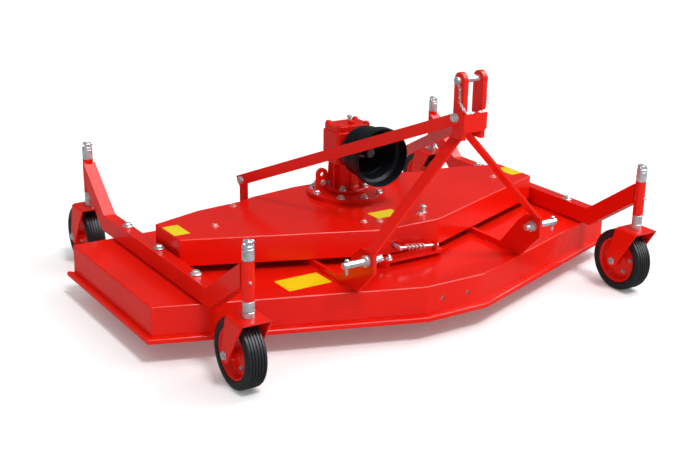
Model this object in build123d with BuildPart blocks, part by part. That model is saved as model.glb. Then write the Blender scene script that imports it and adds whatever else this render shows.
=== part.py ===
from build123d import *
import os
from math import atan2, hypot, tan

os.makedirs("parts", exist_ok=True)

# Finishing mower, rear mounted, in millimetres.
# X to the right, Y to the rear, Z up, floor at Z = 0, tractor in front at -Y.

# General allowances
overrun = 2.0
running_gap = 0.3
SIDES = (("left", -1), ("right", 1))

# Castor wheels
rim_radius = 82.0
tyre_wall = 30.0
tyre_radius = rim_radius + tyre_wall
tyre_width = 68.0
tyre_shoulder = 14.0
rim_lip = 4.0
rim_web = 10.0
tyre_crown = 5.0
hub_radius = 22.0
axle_radius = 8.0
axle_head_radius = 13.0
axle_head_height = 9.0
castor_trail = 54.0

# Castor forks and spindles
fork_plate = 8.0
fork_side_gap = 11.0
fork_top_gap = 10.0
fork_front_reach = 52.0
fork_rear_reach = 48.0
fork_eye_radius = 24.0
fork_bend_radius = 12.0
spindle_radius = 14.0
spindle_chamfer = 2.0
spacer_radius = 18.0
spacer_low_height = 52.0
spacer_top_height = 46.0
spindle_end = 8.0
linch_pin_radius = 4.0
linch_pin_gap = 1.0
linch_pin_overhang = 7.0

# Deck
deck_half_width = 945.0
deck_top = 190.0
deck_plate = 5.0
skirt_bottom = 75.0
lip_out = 19.0
lip_height = 16.0
deck_front_corner_y = -339.0
deck_kink_x = 117.4
deck_nose_y = -630.0
deck_rear_y = 310.5
rear_skirt_height = 60.0
nose_hole_radius = 8.0
nose_hole_spacing = 104.0

# Spindle tubes and side beams
tube_radius = 18.5
tube_height = 123.0
front_spindle_y = -661.5
rear_spindle_y = 553.5
beam_inset = 163.0
beam_width = 44.0
beam_height = 60.0
beam_pad_width = 30.0
beam_pad_height = 6.0
front_mitre_y = -429.5
rear_mitre_y = 367.5
arm_cope = 12.0

# Belt cover
cover_top = 308.0
cover_gap = 27.0
cover_sheet = 3.0
cover_inset = 198.0
cover_front_corner_y = -131.0
cover_kink_x = 115.7
cover_nose_y = -377.0
cover_rear_y = 195.5
# Corners of the rear edge as shares of the cover's side X and rear Y
cover_rear_shares = ((1, 0.2864), (0.75, 0.5959), (0.506, 0.7033), (0.435, 0.8261), (0.1633, 1))
cover_drive_hole_radius = 40.0
cover_rod_hole_radius = 11.0
cover_post_radius = 12.0
# Posts as shares of the cover's side X and nose Y
cover_post_shares = ((0.944, 0.106), (0.335, 0.597), (0.335, -0.255))

# Blades and their spindles
blade_inset = 353.0
blade_outer_y = -9.5
blade_centre_y = -279.5
blade_reach = 312.0
blade_width = 60.0
blade_plate = 8.0
blade_z = 96.0
blade_wing_length = 110.0
blade_wing_rise = 14.0
housing_radius = 62.0
housing_height = 26.0
housing_neck_radius = 38.0
housing_neck_height = 18.0
blade_shaft_radius = 15.0
blade_hub_radius = 34.0
blade_hub_height = 12.0
blade_bolt_radius = 18.0
blade_bolt_height = 10.0

# Belt pulleys between the deck and the cover
pulley_gap = 26.0
pulley_width = 34.0
pulley_radius = 75.0
pulley_groove = 14.0
pulley_land = 5.0
drive_pulley_radius = 110.0
pulley_nut_height = 10.0
pulley_nut_radius = 20.0

# Lower hitch
hitch_pin_y = -615.5
hitch_pin_z = 316.0
hitch_pin_radius = 11.0
hitch_pin_tip_x = 433.0
hitch_plate_outer_x = 342.0
hitch_plate = 12.0
hitch_collar_radius = 19.0
hitch_collar_width = 12.0
hitch_nut_radius = 19.0
hitch_nut_height = 18.0
hitch_linch_x = 418.0
hitch_linch_radius = 5.0
hitch_linch_reach = 26.0
hitch_tail_y = -209.5
hitch_tail_height = 24.0
hitch_step_y = -454.5
hitch_foot_y = -557.5
hitch_nose = 76.0
hitch_cheek = 34.0
hitch_top = 348.0

# Mast and stays
mast_pin_y = -652.0
mast_pin_z = 857.0
mast_pin_radius = 9.5
mast_gap = 57.0
mast_plate = 16.0
mast_depth = 50.0
mast_pin_overhang = 14.0
bracket_plate = 8.0
bracket_half_width = 46.0
bracket_drop = 100.0
bracket_height = 60.0
bracket_corner = 8.0
brace_width = 50.0
brace_plate = 10.0
brace_y = -624.5
brace_drop = 155.0
stay_height = 38.0
stay_plate = 10.0
stay_drop = 112.0
stay_rear_x = 345.0
stay_rear_y = 197.5
stay_rear_z = 366.0
post_width = 26.0
post_plate = 19.0
post_top = 380.0

# Gearbox and shaft guard
gearbox_y = 32.0
gearbox_width = 147.0
gearbox_depth = 106.0
gearbox_corner = 12.0
gearbox_cap = 22.0
gearbox_cap_inset = 4.0
gearbox_top = 571.0
gearbox_floor = 435.0
gearbox_neck_radius = 50.0
gearbox_base = 16.0
gearbox_base_radius = 142.0
lug_x = -86.0
lug_y = 65.0
lug_width = 46.0
lug_plate = 12.0
lug_eye_z = 384.0
lug_eye_radius = 8.0
drive_shaft_radius = 17.0
pto_z = 495.0
pto_radius = 17.4
pto_length = 82.0
pto_relief = 2.0
pto_relief_radius = 15.5
pto_journal_radius = 22.0
pto_collar_radius = 34.0
pto_collar_length = 18.0
guard_mouth_y = -195.5
guard_mouth_radius = 104.0
guard_bell_radius = 93.0
guard_root_radius = 60.0
guard_wall = 4.0
guard_straight = 46.0

# Belt tensioner
lever_y = -402.0
lever_left_x = -150.0
lever_right_x = 110.0
lever_width = 46.0
lever_plate = 10.0
lever_boss_radius = 20.0
lever_boss_height = 14.0
stub_x = -70.0
stub_z = 245.0
stub_radius = 7.0
stub_inside = 24.0
stub_outside = 40.0
rod_radius = 4.5
rod_right_x = 74.0
rod_right_y = -413.0
rod_right_z = 231.0
rod_end = 14.0
spring_radius = 11.0
spring_start = 22.0
spring_length = 84.0
anchor_plate = 8.0
anchor_width = 22.0
anchor_crown = 8.0

# Values that follow from the sizes above
fork_half = tyre_width / 2 + fork_side_gap
fork_under = 2 * tyre_radius + fork_top_gap
fork_top = fork_under + fork_plate
tube_low = fork_top + spacer_low_height + running_gap
tube_top = tube_low + tube_height
beam_x = deck_half_width - beam_inset
spindle_x = beam_x
beam_low = deck_top + beam_pad_height
beam_top = beam_low + beam_height
skirt_top = deck_top - deck_plate
lip_top = skirt_bottom + lip_height
cover_low = deck_top + cover_gap
cover_side_x = deck_half_width - cover_inset
pulley_low = deck_top + pulley_gap
pulley_top = pulley_low + pulley_width
blade_x = deck_half_width - blade_inset
mast_outer_x = mast_gap / 2 + mast_plate
hitch_plate_inner_x = hitch_plate_outer_x - hitch_plate
blade_places = (
    ("left", -blade_x, blade_outer_y),
    ("centre", 0.0, blade_centre_y),
    ("right", blade_x, blade_outer_y),
)
# Castor table: name, spindle X, spindle Y
castor_places = tuple(
    (row + "_" + side, sign * spindle_x, y)
    for row, y in (("front", front_spindle_y), ("rear", rear_spindle_y))
    for side, sign in SIDES
)


def write(piece, name):
    """Give the finished piece its name and write it as one file."""
    piece.part.label = name
    export_step(piece.part, "parts/" + name + ".step")


def mirrored(points):
    """Right-hand points, front to rear, closed by their mirror images."""
    left = [(-x, y) for x, y in reversed(points)]
    return list(points) + left


def set_off(points, distance):
    """Corners of a clockwise or counter-clockwise outline moved outwards by a distance."""
    count = len(points)
    area = sum(
        points[i][0] * points[(i + 1) % count][1] - points[(i + 1) % count][0] * points[i][1]
        for i in range(count)
    )
    turn = 1 if area > 0 else -1
    moved = []
    for i in range(count):
        before, here, after = points[i - 1], points[i], points[(i + 1) % count]
        normals = []
        for a, b in ((before, here), (here, after)):
            run = hypot(b[0] - a[0], b[1] - a[1])
            normals.append((turn * (b[1] - a[1]) / run, -turn * (b[0] - a[0]) / run))
        (ux, uy), (vx, vy) = normals
        share = distance / (1 + ux * vx + uy * vy)
        moved.append((here[0] + share * (ux + vx), here[1] + share * (uy + vy)))
    return moved


# Deck outlines, from the front middle to the rear on the right-hand side
deck_outline = mirrored(
    [
        (deck_kink_x, deck_nose_y),
        (deck_half_width, deck_front_corner_y),
        (deck_half_width, deck_rear_y),
    ]
)
deck_inner = set_off(deck_outline, -deck_plate)
deck_lip = set_off(deck_outline, lip_out)

# Deck top plate
with BuildPart() as deck_top_plate:
    with BuildSketch(Plane.XY.offset(skirt_top)):
        Polygon(*deck_outline, align=None)
        with Locations(*[(x, y) for _, x, y in blade_places]):
            Circle(blade_shaft_radius + running_gap, mode=Mode.SUBTRACT)
    extrude(amount=deck_plate)
write(deck_top_plate, "deck_top_plate")

# Skirt panels by node, each panel between two corners of the outline
full_skirt = skirt_top - skirt_bottom
skirt_panels = (
    # node, height, has a lip, corner pairs
    ("nose_skirt", full_skirt, True, ((5, 0),)),
    ("front_skirts", full_skirt, True, ((0, 1), (4, 5))),
    ("side_skirts", full_skirt, True, ((1, 2), (3, 4))),
    ("rear_skirt", rear_skirt_height, False, ((2, 3),)),
)
for name, height, has_lip, pairs in skirt_panels:
    with BuildPart() as panel:
        for i, j in pairs:
            with BuildSketch(Plane.XY.offset(skirt_top - height)):
                Polygon(deck_outline[i], deck_outline[j], deck_inner[j], deck_inner[i], align=None)
            extrude(amount=height)
            if has_lip:
                with BuildSketch(Plane.XY.offset(skirt_bottom)):
                    Polygon(deck_outline[i], deck_outline[j], deck_lip[j], deck_lip[i], align=None)
                extrude(amount=lip_height)
        if name == "nose_skirt":
            hole_z = (skirt_top + lip_top) / 2
            with BuildSketch(Plane.XZ.offset(-deck_nose_y + overrun)):
                with Locations((-nose_hole_spacing / 2, hole_z), (nose_hole_spacing / 2, hole_z)):
                    Circle(nose_hole_radius)
            extrude(amount=-(deck_plate + 2 * overrun), mode=Mode.SUBTRACT)
    write(panel, name)

# Belt cover, a sheet box that is open below
cover_outline = mirrored(
    [(cover_kink_x, cover_nose_y), (cover_side_x, cover_front_corner_y)]
    + [(u * cover_side_x, v * cover_rear_y) for u, v in cover_rear_shares]
)
with BuildPart() as belt_cover:
    with BuildSketch(Plane.XY.offset(cover_low)):
        Polygon(*cover_outline, align=None)
    extrude(amount=cover_top - cover_low)
    with BuildSketch(Plane.XY.offset(cover_low)):
        Polygon(*set_off(cover_outline, -cover_sheet), align=None)
    extrude(amount=cover_top - cover_low - cover_sheet, mode=Mode.SUBTRACT)
    with BuildSketch(Plane.XY.offset(cover_top - cover_sheet)):
        with Locations((0, gearbox_y)):
            Circle(cover_drive_hole_radius)
    extrude(amount=cover_sheet, mode=Mode.SUBTRACT)
    with BuildSketch(Plane.XZ.offset(-cover_nose_y - cover_sheet)):
        with Locations((stub_x, stub_z)):
            Circle(cover_rod_hole_radius)
    extrude(amount=cover_sheet, mode=Mode.SUBTRACT)
write(belt_cover, "belt_cover")

# Posts inside the cover that carry its top sheet
with BuildPart() as cover_posts:
    with BuildSketch(Plane.XY.offset(deck_top)):
        for u, v in cover_post_shares:
            x, y = u * cover_side_x, v * cover_nose_y
            with Locations((x, y), (-x, y)):
                Circle(cover_post_radius)
    extrude(amount=cover_top - cover_sheet - deck_top)
write(cover_posts, "cover_posts")

# Side beams with their mitred arms
front_rise = (tube_top - beam_top) / (front_mitre_y - front_spindle_y)
rear_rise = (tube_top - beam_top) / (rear_spindle_y - rear_mitre_y)
front_half_turn = tan(atan2(tube_top - beam_top, front_mitre_y - front_spindle_y) / 2)
rear_half_turn = tan(atan2(tube_top - beam_top, rear_spindle_y - rear_mitre_y) / 2)
front_arm_end = front_spindle_y + arm_cope
rear_arm_end = rear_spindle_y - arm_cope
front_drop = beam_height * hypot(1, front_rise)
rear_drop = beam_height * hypot(1, rear_rise)
front_end_z = beam_top + (front_mitre_y - front_arm_end) * front_rise
rear_end_z = beam_top + (rear_arm_end - rear_mitre_y) * rear_rise
beam_profile = (
    (front_mitre_y - beam_height * front_half_turn, beam_low),
    (rear_mitre_y + beam_height * rear_half_turn, beam_low),
    (rear_arm_end, rear_end_z - rear_drop),
    (rear_arm_end, rear_end_z),
    (rear_mitre_y, beam_top),
    (front_mitre_y, beam_top),
    (front_arm_end, front_end_z),
    (front_arm_end, front_end_z - front_drop),
)
for side, sign in SIDES:
    with BuildPart() as beam:
        with BuildSketch(Plane.YZ.offset(sign * beam_x - beam_width / 2)):
            Polygon(*beam_profile, align=None)
        extrude(amount=beam_width)
        with BuildSketch(Plane.XY.offset(deck_top)):
            with Locations((sign * beam_x, (deck_front_corner_y + deck_rear_y) / 2)):
                Rectangle(beam_pad_width, deck_rear_y - deck_front_corner_y - beam_pad_width)
        extrude(amount=beam_pad_height)
        with BuildSketch(Plane.XY.offset(deck_top)):
            with Locations((sign * spindle_x, front_spindle_y), (sign * spindle_x, rear_spindle_y)):
                Circle(tube_radius)
        extrude(amount=tube_top - deck_top + overrun, mode=Mode.SUBTRACT)
    write(beam, "side_beam_" + side)

# Tubes that the castor spindles turn in
with BuildPart() as spindle_tubes:
    with BuildSketch(Plane.XY.offset(tube_low)):
        for _, x, y in castor_places:
            with Locations((x, y)):
                Circle(tube_radius)
                Circle(spindle_radius + running_gap, mode=Mode.SUBTRACT)
    extrude(amount=tube_height)
write(spindle_tubes, "spindle_tubes")

# Castors
axle_z = tyre_radius
fork_cut_length = 2 * (fork_front_reach + fork_rear_reach + castor_trail + fork_eye_radius)
for place, x, y in castor_places:
    axle_y = y + castor_trail

    # Fork: a plate bent over the wheel, with a leg on each side
    leg_profile = (
        (y - fork_front_reach, fork_top),
        (y + fork_rear_reach, fork_top),
        (axle_y + fork_eye_radius, axle_z),
        (axle_y - fork_eye_radius, axle_z),
    )
    with BuildPart() as fork:
        with BuildSketch(Plane.YZ.offset(x - fork_half - fork_plate)):
            Polygon(*leg_profile, align=None)
            with Locations((axle_y, axle_z)):
                Circle(fork_eye_radius)
        extrude(amount=2 * (fork_half + fork_plate))
        with BuildSketch(Plane.YZ.offset(x - fork_half)):
            with Locations((y, fork_under / 2 - overrun)):
                Rectangle(fork_cut_length, fork_under + 2 * overrun)
        extrude(amount=2 * fork_half, mode=Mode.SUBTRACT)
        fillet(
            fork.edges().filter_by(Axis.Y).group_by(Axis.Z)[-1],
            radius=fork_bend_radius,
        )
        with BuildSketch(Plane.YZ.offset(x - fork_half - fork_plate - overrun)):
            with Locations((axle_y, axle_z)):
                Circle(axle_radius)
        extrude(amount=2 * (fork_half + fork_plate + overrun), mode=Mode.SUBTRACT)
    write(fork, "castor_fork_" + place)

    # Spindle with its spacer rings, and the linch pin that holds them
    top_ring_z = tube_top + running_gap
    pin_z = top_ring_z + spacer_top_height + linch_pin_gap + linch_pin_radius
    with BuildPart() as spindle:
        # Round sections: low Z, height, radius
        for low, height, radius in (
            (fork_top, pin_z + spindle_end - fork_top, spindle_radius),
            (fork_top, spacer_low_height, spacer_radius),
            (top_ring_z, spacer_top_height, spacer_radius),
        ):
            with BuildSketch(Plane(origin=(x, y, low))):
                Circle(radius)
            extrude(amount=height)
        chamfer(spindle.edges().group_by(Axis.Z)[-1], length=spindle_chamfer)
        with BuildSketch(Plane.YZ.offset(x - spindle_radius - linch_pin_overhang)):
            with Locations((y, pin_z)):
                Circle(linch_pin_radius)
        extrude(amount=2 * (spindle_radius + linch_pin_overhang))
    write(spindle, "castor_spindle_" + place)

    # Axle bolt through the fork legs
    with BuildPart() as axle:
        axle_half = fork_half + fork_plate
        with BuildSketch(Plane.YZ.offset(x - axle_half)):
            with Locations((axle_y, axle_z)):
                Circle(axle_radius)
        extrude(amount=2 * axle_half)
        for start in (x - axle_half - axle_head_height, x + axle_half):
            with BuildSketch(Plane.YZ.offset(start)):
                with Locations((axle_y, axle_z)):
                    RegularPolygon(axle_head_radius, 6)
            extrude(amount=axle_head_height)
    write(axle, "wheel_axle_" + place)

    # Rim with its hub
    wheel_plane = Plane(origin=(x, axle_y, axle_z), x_dir=(0, 0, 1), z_dir=(0, -1, 0))
    wheel_axis = Axis((x, axle_y, axle_z), (1, 0, 0))
    half = tyre_width / 2
    face = half - rim_lip
    hub_end = fork_half - running_gap
    bore = axle_radius + running_gap
    with BuildPart() as rim:
        with BuildSketch(wheel_plane):
            with BuildLine():
                Polyline(
                    (bore, -hub_end),
                    (hub_radius, -hub_end),
                    (hub_radius, -rim_web / 2),
                    (rim_radius - rim_lip, -rim_web / 2),
                    (rim_radius - rim_lip, -face),
                    (rim_radius, -face),
                    (rim_radius, face),
                    (rim_radius - rim_lip, face),
                    (rim_radius - rim_lip, rim_web / 2),
                    (hub_radius, rim_web / 2),
                    (hub_radius, hub_end),
                    (bore, hub_end),
                    close=True,
                )
            make_face()
        revolve(axis=wheel_axis)
    write(rim, "wheel_rim_" + place)

    # Tyre
    with BuildPart() as tyre:
        with BuildSketch(wheel_plane):
            with BuildLine():
                Polyline(
                    (rim_radius, -half),
                    (tyre_radius - tyre_crown, -half),
                    (tyre_radius, -half + tyre_shoulder),
                    (tyre_radius, half - tyre_shoulder),
                    (tyre_radius - tyre_crown, half),
                    (rim_radius, half),
                    close=True,
                )
            make_face()
        revolve(axis=wheel_axis)
    write(tyre, "wheel_tyre_" + place)

# Blade spindles and blades below the deck
housing_low = skirt_top - housing_height - housing_neck_height
with BuildPart() as housings:
    for _, x, y in blade_places:
        for low, height, radius in (
            (skirt_top - housing_height, housing_height, housing_radius),
            (housing_low, housing_neck_height, housing_neck_radius),
        ):
            with BuildSketch(Plane(origin=(x, y, low))):
                Circle(radius)
                Circle(blade_shaft_radius + running_gap, mode=Mode.SUBTRACT)
            extrude(amount=height)
write(housings, "blade_housings")

# Wing section across the blade: distance from its middle, height above the blade's underside
wing_section = (
    (blade_width / 2 - blade_plate, 0.0),
    (blade_width / 2, 0.0),
    (blade_width / 2 + blade_wing_rise, blade_plate + blade_wing_rise),
    (blade_width / 2 + blade_wing_rise - blade_plate, blade_plate + blade_wing_rise),
)
for side, x, y in blade_places:
    with BuildPart() as blade:
        with BuildSketch(Plane(origin=(x, y, blade_z))):
            Rectangle(2 * blade_reach, blade_width)
        extrude(amount=blade_plate)
        for turn, start in ((1, x + blade_reach - blade_wing_length), (-1, x - blade_reach)):
            with BuildSketch(Plane.YZ.offset(start)):
                Polygon(*[(y + turn * u, blade_z + v) for u, v in wing_section], align=None)
            extrude(amount=blade_wing_length)
        with BuildSketch(Plane(origin=(x, y, blade_z + blade_plate))):
            Circle(blade_hub_radius)
        extrude(amount=blade_hub_height)
        with BuildSketch(Plane(origin=(x, y, blade_z + blade_plate))):
            Circle(blade_shaft_radius)
        extrude(amount=pulley_top - blade_z - blade_plate)
        with BuildSketch(Plane(origin=(x, y, blade_z - blade_bolt_height))):
            RegularPolygon(blade_bolt_radius, 6)
        extrude(amount=blade_bolt_height)
    write(blade, "blade_" + side)

# Belt pulleys: one on each blade shaft and one on the gearbox's output shaft
pulley_places = tuple(
    ("pulley_" + side, x, y, pulley_radius, blade_shaft_radius) for side, x, y in blade_places
) + (("drive_pulley", 0.0, gearbox_y, drive_pulley_radius, 0.0),)
for name, x, y, radius, bore in pulley_places:
    groove_end = pulley_width / 2 - pulley_land
    pulley_axis = Axis((x, y, pulley_low), (0, 0, 1))
    with BuildPart() as pulley:
        with BuildSketch(Plane((x, y, pulley_low + pulley_width / 2), (1, 0, 0), (0, -1, 0))):
            Polygon(
                (bore, -pulley_width / 2),
                (radius, -pulley_width / 2),
                (radius, -groove_end),
                (radius - pulley_groove, -pulley_land / 2),
                (radius - pulley_groove, pulley_land / 2),
                (radius, groove_end),
                (radius, pulley_width / 2),
                (bore, pulley_width / 2),
                align=None,
            )
        revolve(axis=pulley_axis)
        with BuildSketch(Plane(origin=(x, y, pulley_top))):
            if bore:
                RegularPolygon(pulley_nut_radius, 6)
            else:
                Circle(drive_shaft_radius)
        extrude(amount=pulley_nut_height if bore else cover_top + gearbox_base - pulley_top)
    write(pulley, name)

# Hitch brackets, pins and braces
hitch_profile = (
    (hitch_tail_y, deck_top),
    (hitch_tail_y, deck_top + hitch_tail_height),
    (hitch_step_y, deck_top + hitch_tail_height),
    (hitch_pin_y + hitch_nose, hitch_pin_z),
    (hitch_pin_y + hitch_nose / 2, hitch_top),
    (hitch_pin_y - hitch_cheek, hitch_top),
    (hitch_pin_y - hitch_cheek, hitch_pin_z - hitch_cheek),
    (hitch_foot_y, deck_top),
)
with BuildPart() as hitch_brackets:
    for start in (hitch_plate_inner_x, -hitch_plate_outer_x):
        with BuildSketch(Plane.YZ.offset(start)):
            Polygon(*hitch_profile, align=None)
            with Locations((hitch_pin_y, hitch_pin_z)):
                Circle(hitch_pin_radius, mode=Mode.SUBTRACT)
        extrude(amount=hitch_plate)
write(hitch_brackets, "hitch_brackets")

with BuildPart() as hitch_pins:
    # Sections: inner X, outer X, radius, corners of the section or 0 for round
    for inner, outer, radius, corners in (
        (hitch_plate_inner_x, hitch_pin_tip_x, hitch_pin_radius, 0),
        (hitch_plate_outer_x, hitch_plate_outer_x + hitch_collar_width, hitch_collar_radius, 0),
        (hitch_plate_inner_x - hitch_nut_height, hitch_plate_inner_x, hitch_nut_radius, 6),
    ):
        for start in (inner, -outer):
            with BuildSketch(Plane.YZ.offset(start)):
                with Locations((hitch_pin_y, hitch_pin_z)):
                    if corners:
                        RegularPolygon(radius, corners)
                    else:
                        Circle(radius)
            extrude(amount=outer - inner)
    for x in (hitch_linch_x, -hitch_linch_x):
        with BuildSketch(Plane(origin=(x, hitch_pin_y, hitch_pin_z - hitch_linch_reach))):
            Circle(hitch_linch_radius)
        extrude(amount=2 * hitch_linch_reach)
write(hitch_pins, "hitch_pins")

# Braces from the brackets up to the middle of the mast's foot
brace_low = (hitch_plate_outer_x, hitch_top)
brace_top_z = mast_pin_z - brace_drop
brace_rise = (brace_top_z - brace_low[1]) / brace_low[0]
brace_level = brace_plate * hypot(1, brace_rise) / brace_rise
for side, sign in SIDES:
    with BuildPart() as brace:
        with BuildSketch(Plane.XZ.offset(-brace_y - brace_width / 2)):
            Polygon(
                (sign * brace_low[0], brace_low[1]),
                (sign * (brace_low[0] - brace_level), brace_low[1]),
                (0, brace_top_z - brace_level * brace_rise),
                (0, brace_top_z),
                align=None,
            )
        extrude(amount=brace_width)
    write(brace, "mast_brace_" + side)

# Mast: two plates, the pin for the top link and the bracket across the front
mast_front_y = mast_pin_y - mast_depth / 2
mast_round = mast_depth / 2
mast_bottom = brace_top_z - mast_gap / 2 * brace_rise
bracket_top = mast_pin_z - bracket_drop
bracket_bottom = bracket_top - bracket_height
stay_front_z = mast_pin_z - stay_drop
with BuildPart() as mast_plates:
    for start in (mast_gap / 2, -mast_outer_x):
        with BuildSketch(Plane.YZ.offset(start)):
            with Locations((mast_pin_y, (mast_bottom + mast_pin_z) / 2)):
                Rectangle(mast_depth, mast_pin_z - mast_bottom)
            with Locations((mast_pin_y, mast_pin_z)):
                Circle(mast_round)
                Circle(mast_pin_radius, mode=Mode.SUBTRACT)
        extrude(amount=mast_plate)
write(mast_plates, "mast_plates")

with BuildPart() as mast_pin:
    with BuildSketch(Plane.YZ.offset(-mast_outer_x - mast_pin_overhang)):
        with Locations((mast_pin_y, mast_pin_z)):
            Circle(mast_pin_radius)
    extrude(amount=2 * (mast_outer_x + mast_pin_overhang))
write(mast_pin, "mast_pin")

with BuildPart() as mast_bracket:
    with BuildSketch(Plane.XZ.offset(-mast_front_y)):
        Polygon(
            (-bracket_half_width, bracket_bottom),
            (bracket_half_width - bracket_corner, bracket_bottom),
            (bracket_half_width, bracket_bottom + bracket_corner),
            (bracket_half_width, bracket_top),
            (-bracket_half_width, bracket_top),
            align=None,
        )
    extrude(amount=bracket_plate)
write(mast_bracket, "mast_bracket")

# Stays from the mast back to posts behind the belt cover
stay_front = Vector(mast_outer_x, mast_front_y + stay_plate, stay_front_z)
stay_rear = Vector(stay_rear_x, stay_rear_y, stay_rear_z)
stay_trim = 2 * stay_height
with BuildPart() as stays:
    for _, sign in SIDES:
        front = Vector(sign * stay_front.X, stay_front.Y, stay_front.Z)
        rear = Vector(sign * stay_rear.X, stay_rear.Y, stay_rear.Z)
        along = (rear - front).normalized()
        level = Vector(along.Y, -along.X, 0).normalized()
        start = front - along * stay_trim
        with BuildSketch(Plane(origin=start, x_dir=along, z_dir=level)):
            Rectangle(
                (rear - start).length + post_width / 2,
                stay_height,
                align=(Align.MIN, Align.CENTER),
            )
        extrude(amount=stay_plate / 2, both=True)
    # Cut flat against the mast plates and flush with their front edges
    for centre_y, width, length in (
        (mast_pin_y, 2 * mast_outer_x, mast_depth + 2 * stay_trim),
        (mast_front_y - stay_trim, 2 * (mast_outer_x + stay_trim), 2 * stay_trim),
    ):
        with BuildSketch(Plane.XY.offset(mast_bottom)):
            with Locations((0, centre_y)):
                Rectangle(width, length)
        extrude(amount=mast_pin_z - mast_bottom, mode=Mode.SUBTRACT)
write(stays, "stay_bars")

with BuildPart() as stay_posts:
    for _, sign in SIDES:
        along = Vector(sign * (stay_rear.X - stay_front.X), stay_rear.Y - stay_front.Y, 0).normalized()
        level = Vector(along.Y, -along.X, 0)
        centre = Vector(sign * stay_rear_x, stay_rear_y, deck_top)
        centre = centre - level * sign * (stay_plate + post_plate) / 2
        with BuildSketch(Plane(origin=centre, x_dir=along, z_dir=(0, 0, 1))):
            Rectangle(post_width, post_plate)
        extrude(amount=post_top - deck_top)
write(stay_posts, "stay_posts")

# Gearbox: base with its lug, neck, body and cap
gearbox_front = gearbox_y - gearbox_depth / 2
gearbox_foot = cover_top + gearbox_base
cap_low = gearbox_top - gearbox_cap
with BuildPart() as gearbox:
    with BuildSketch(Plane(origin=(0, gearbox_y, cover_top))):
        Circle(gearbox_base_radius)
    extrude(amount=gearbox_base)
    with BuildSketch(Plane(origin=(0, gearbox_y, gearbox_foot))):
        Circle(gearbox_neck_radius)
    extrude(amount=gearbox_floor - gearbox_foot)
    with BuildSketch(Plane(origin=(0, gearbox_y, gearbox_floor))):
        RectangleRounded(gearbox_width, gearbox_depth, gearbox_corner)
    extrude(amount=cap_low - gearbox_floor)
    with BuildSketch(Plane(origin=(0, gearbox_y, cap_low))):
        RectangleRounded(
            gearbox_width - 2 * gearbox_cap_inset,
            gearbox_depth - 2 * gearbox_cap_inset,
            gearbox_corner,
        )
    extrude(amount=gearbox_cap)
    with BuildSketch(Plane.XZ.offset(-lug_y - lug_plate / 2)):
        with Locations((lug_x, (gearbox_foot + lug_eye_z) / 2)):
            Rectangle(lug_width, lug_eye_z - gearbox_foot)
        with Locations((lug_x, lug_eye_z)):
            Circle(lug_width / 2)
            Circle(lug_eye_radius, mode=Mode.SUBTRACT)
    extrude(amount=lug_plate)
    with BuildSketch(Plane.XZ.offset(-gearbox_front)):
        with Locations((0, pto_z)):
            Circle(pto_collar_radius)
    extrude(amount=pto_collar_length)
    with BuildSketch(Plane.XZ.offset(-gearbox_y)):
        with Locations((0, pto_z)):
            Circle(pto_journal_radius + running_gap)
    extrude(amount=gearbox_depth / 2 + pto_collar_length + overrun, mode=Mode.SUBTRACT)
    with BuildSketch(Plane(origin=(0, gearbox_y, cover_top))):
        Circle(drive_shaft_radius + running_gap)
    extrude(amount=gearbox_base + running_gap, mode=Mode.SUBTRACT)
write(gearbox, "gearbox")

# Input shaft: a journal in the gearbox and the stub for the drive shaft's yoke
pto_seat_y = gearbox_front - pto_collar_length
with BuildPart() as pto_shaft:
    # Sections: rear Y, length, radius
    for start, length, radius in (
        (gearbox_y - running_gap, gearbox_y - running_gap - pto_seat_y, pto_journal_radius),
        (pto_seat_y, pto_relief, pto_relief_radius),
        (pto_seat_y - pto_relief, pto_length, pto_radius),
    ):
        with BuildSketch(Plane.XZ.offset(-start)):
            with Locations((0, pto_z)):
                Circle(radius)
        extrude(amount=length)
write(pto_shaft, "input_shaft")

# Bell-shaped guard around the input shaft, from its inner edge to the mouth and back
guard_step_y = guard_mouth_y + guard_straight
with BuildPart() as guard:
    with BuildSketch(Plane.YZ):
        Polygon(
            (gearbox_front, pto_z + pto_collar_radius),
            (gearbox_front, pto_z + guard_root_radius),
            (guard_step_y, pto_z + guard_bell_radius),
            (guard_step_y, pto_z + guard_mouth_radius),
            (guard_mouth_y, pto_z + guard_mouth_radius),
            (guard_mouth_y, pto_z + guard_mouth_radius - guard_wall),
            (guard_step_y - guard_wall, pto_z + guard_mouth_radius - guard_wall),
            (guard_step_y - guard_wall, pto_z + guard_bell_radius - guard_wall),
            (gearbox_front - guard_wall, pto_z + guard_root_radius - guard_wall),
            (gearbox_front - guard_wall, pto_z + pto_collar_radius),
            align=None,
        )
    revolve(axis=Axis((0, 0, pto_z), (0, 1, 0)))
write(guard, "shaft_guard")

# Belt tensioner at the nose of the cover
with BuildPart() as lever:
    with BuildSketch(Plane.XY.offset(deck_top)):
        with Locations((lever_left_x + lever_width / 2, lever_y)):
            Circle(lever_boss_radius)
    extrude(amount=lever_boss_height)
    with BuildSketch(Plane.XY.offset(deck_top + lever_boss_height)):
        with Locations(((lever_left_x + lever_right_x) / 2, lever_y)):
            SlotOverall(lever_right_x - lever_left_x, lever_width)
    extrude(amount=lever_plate)
write(lever, "tension_lever")

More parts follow.
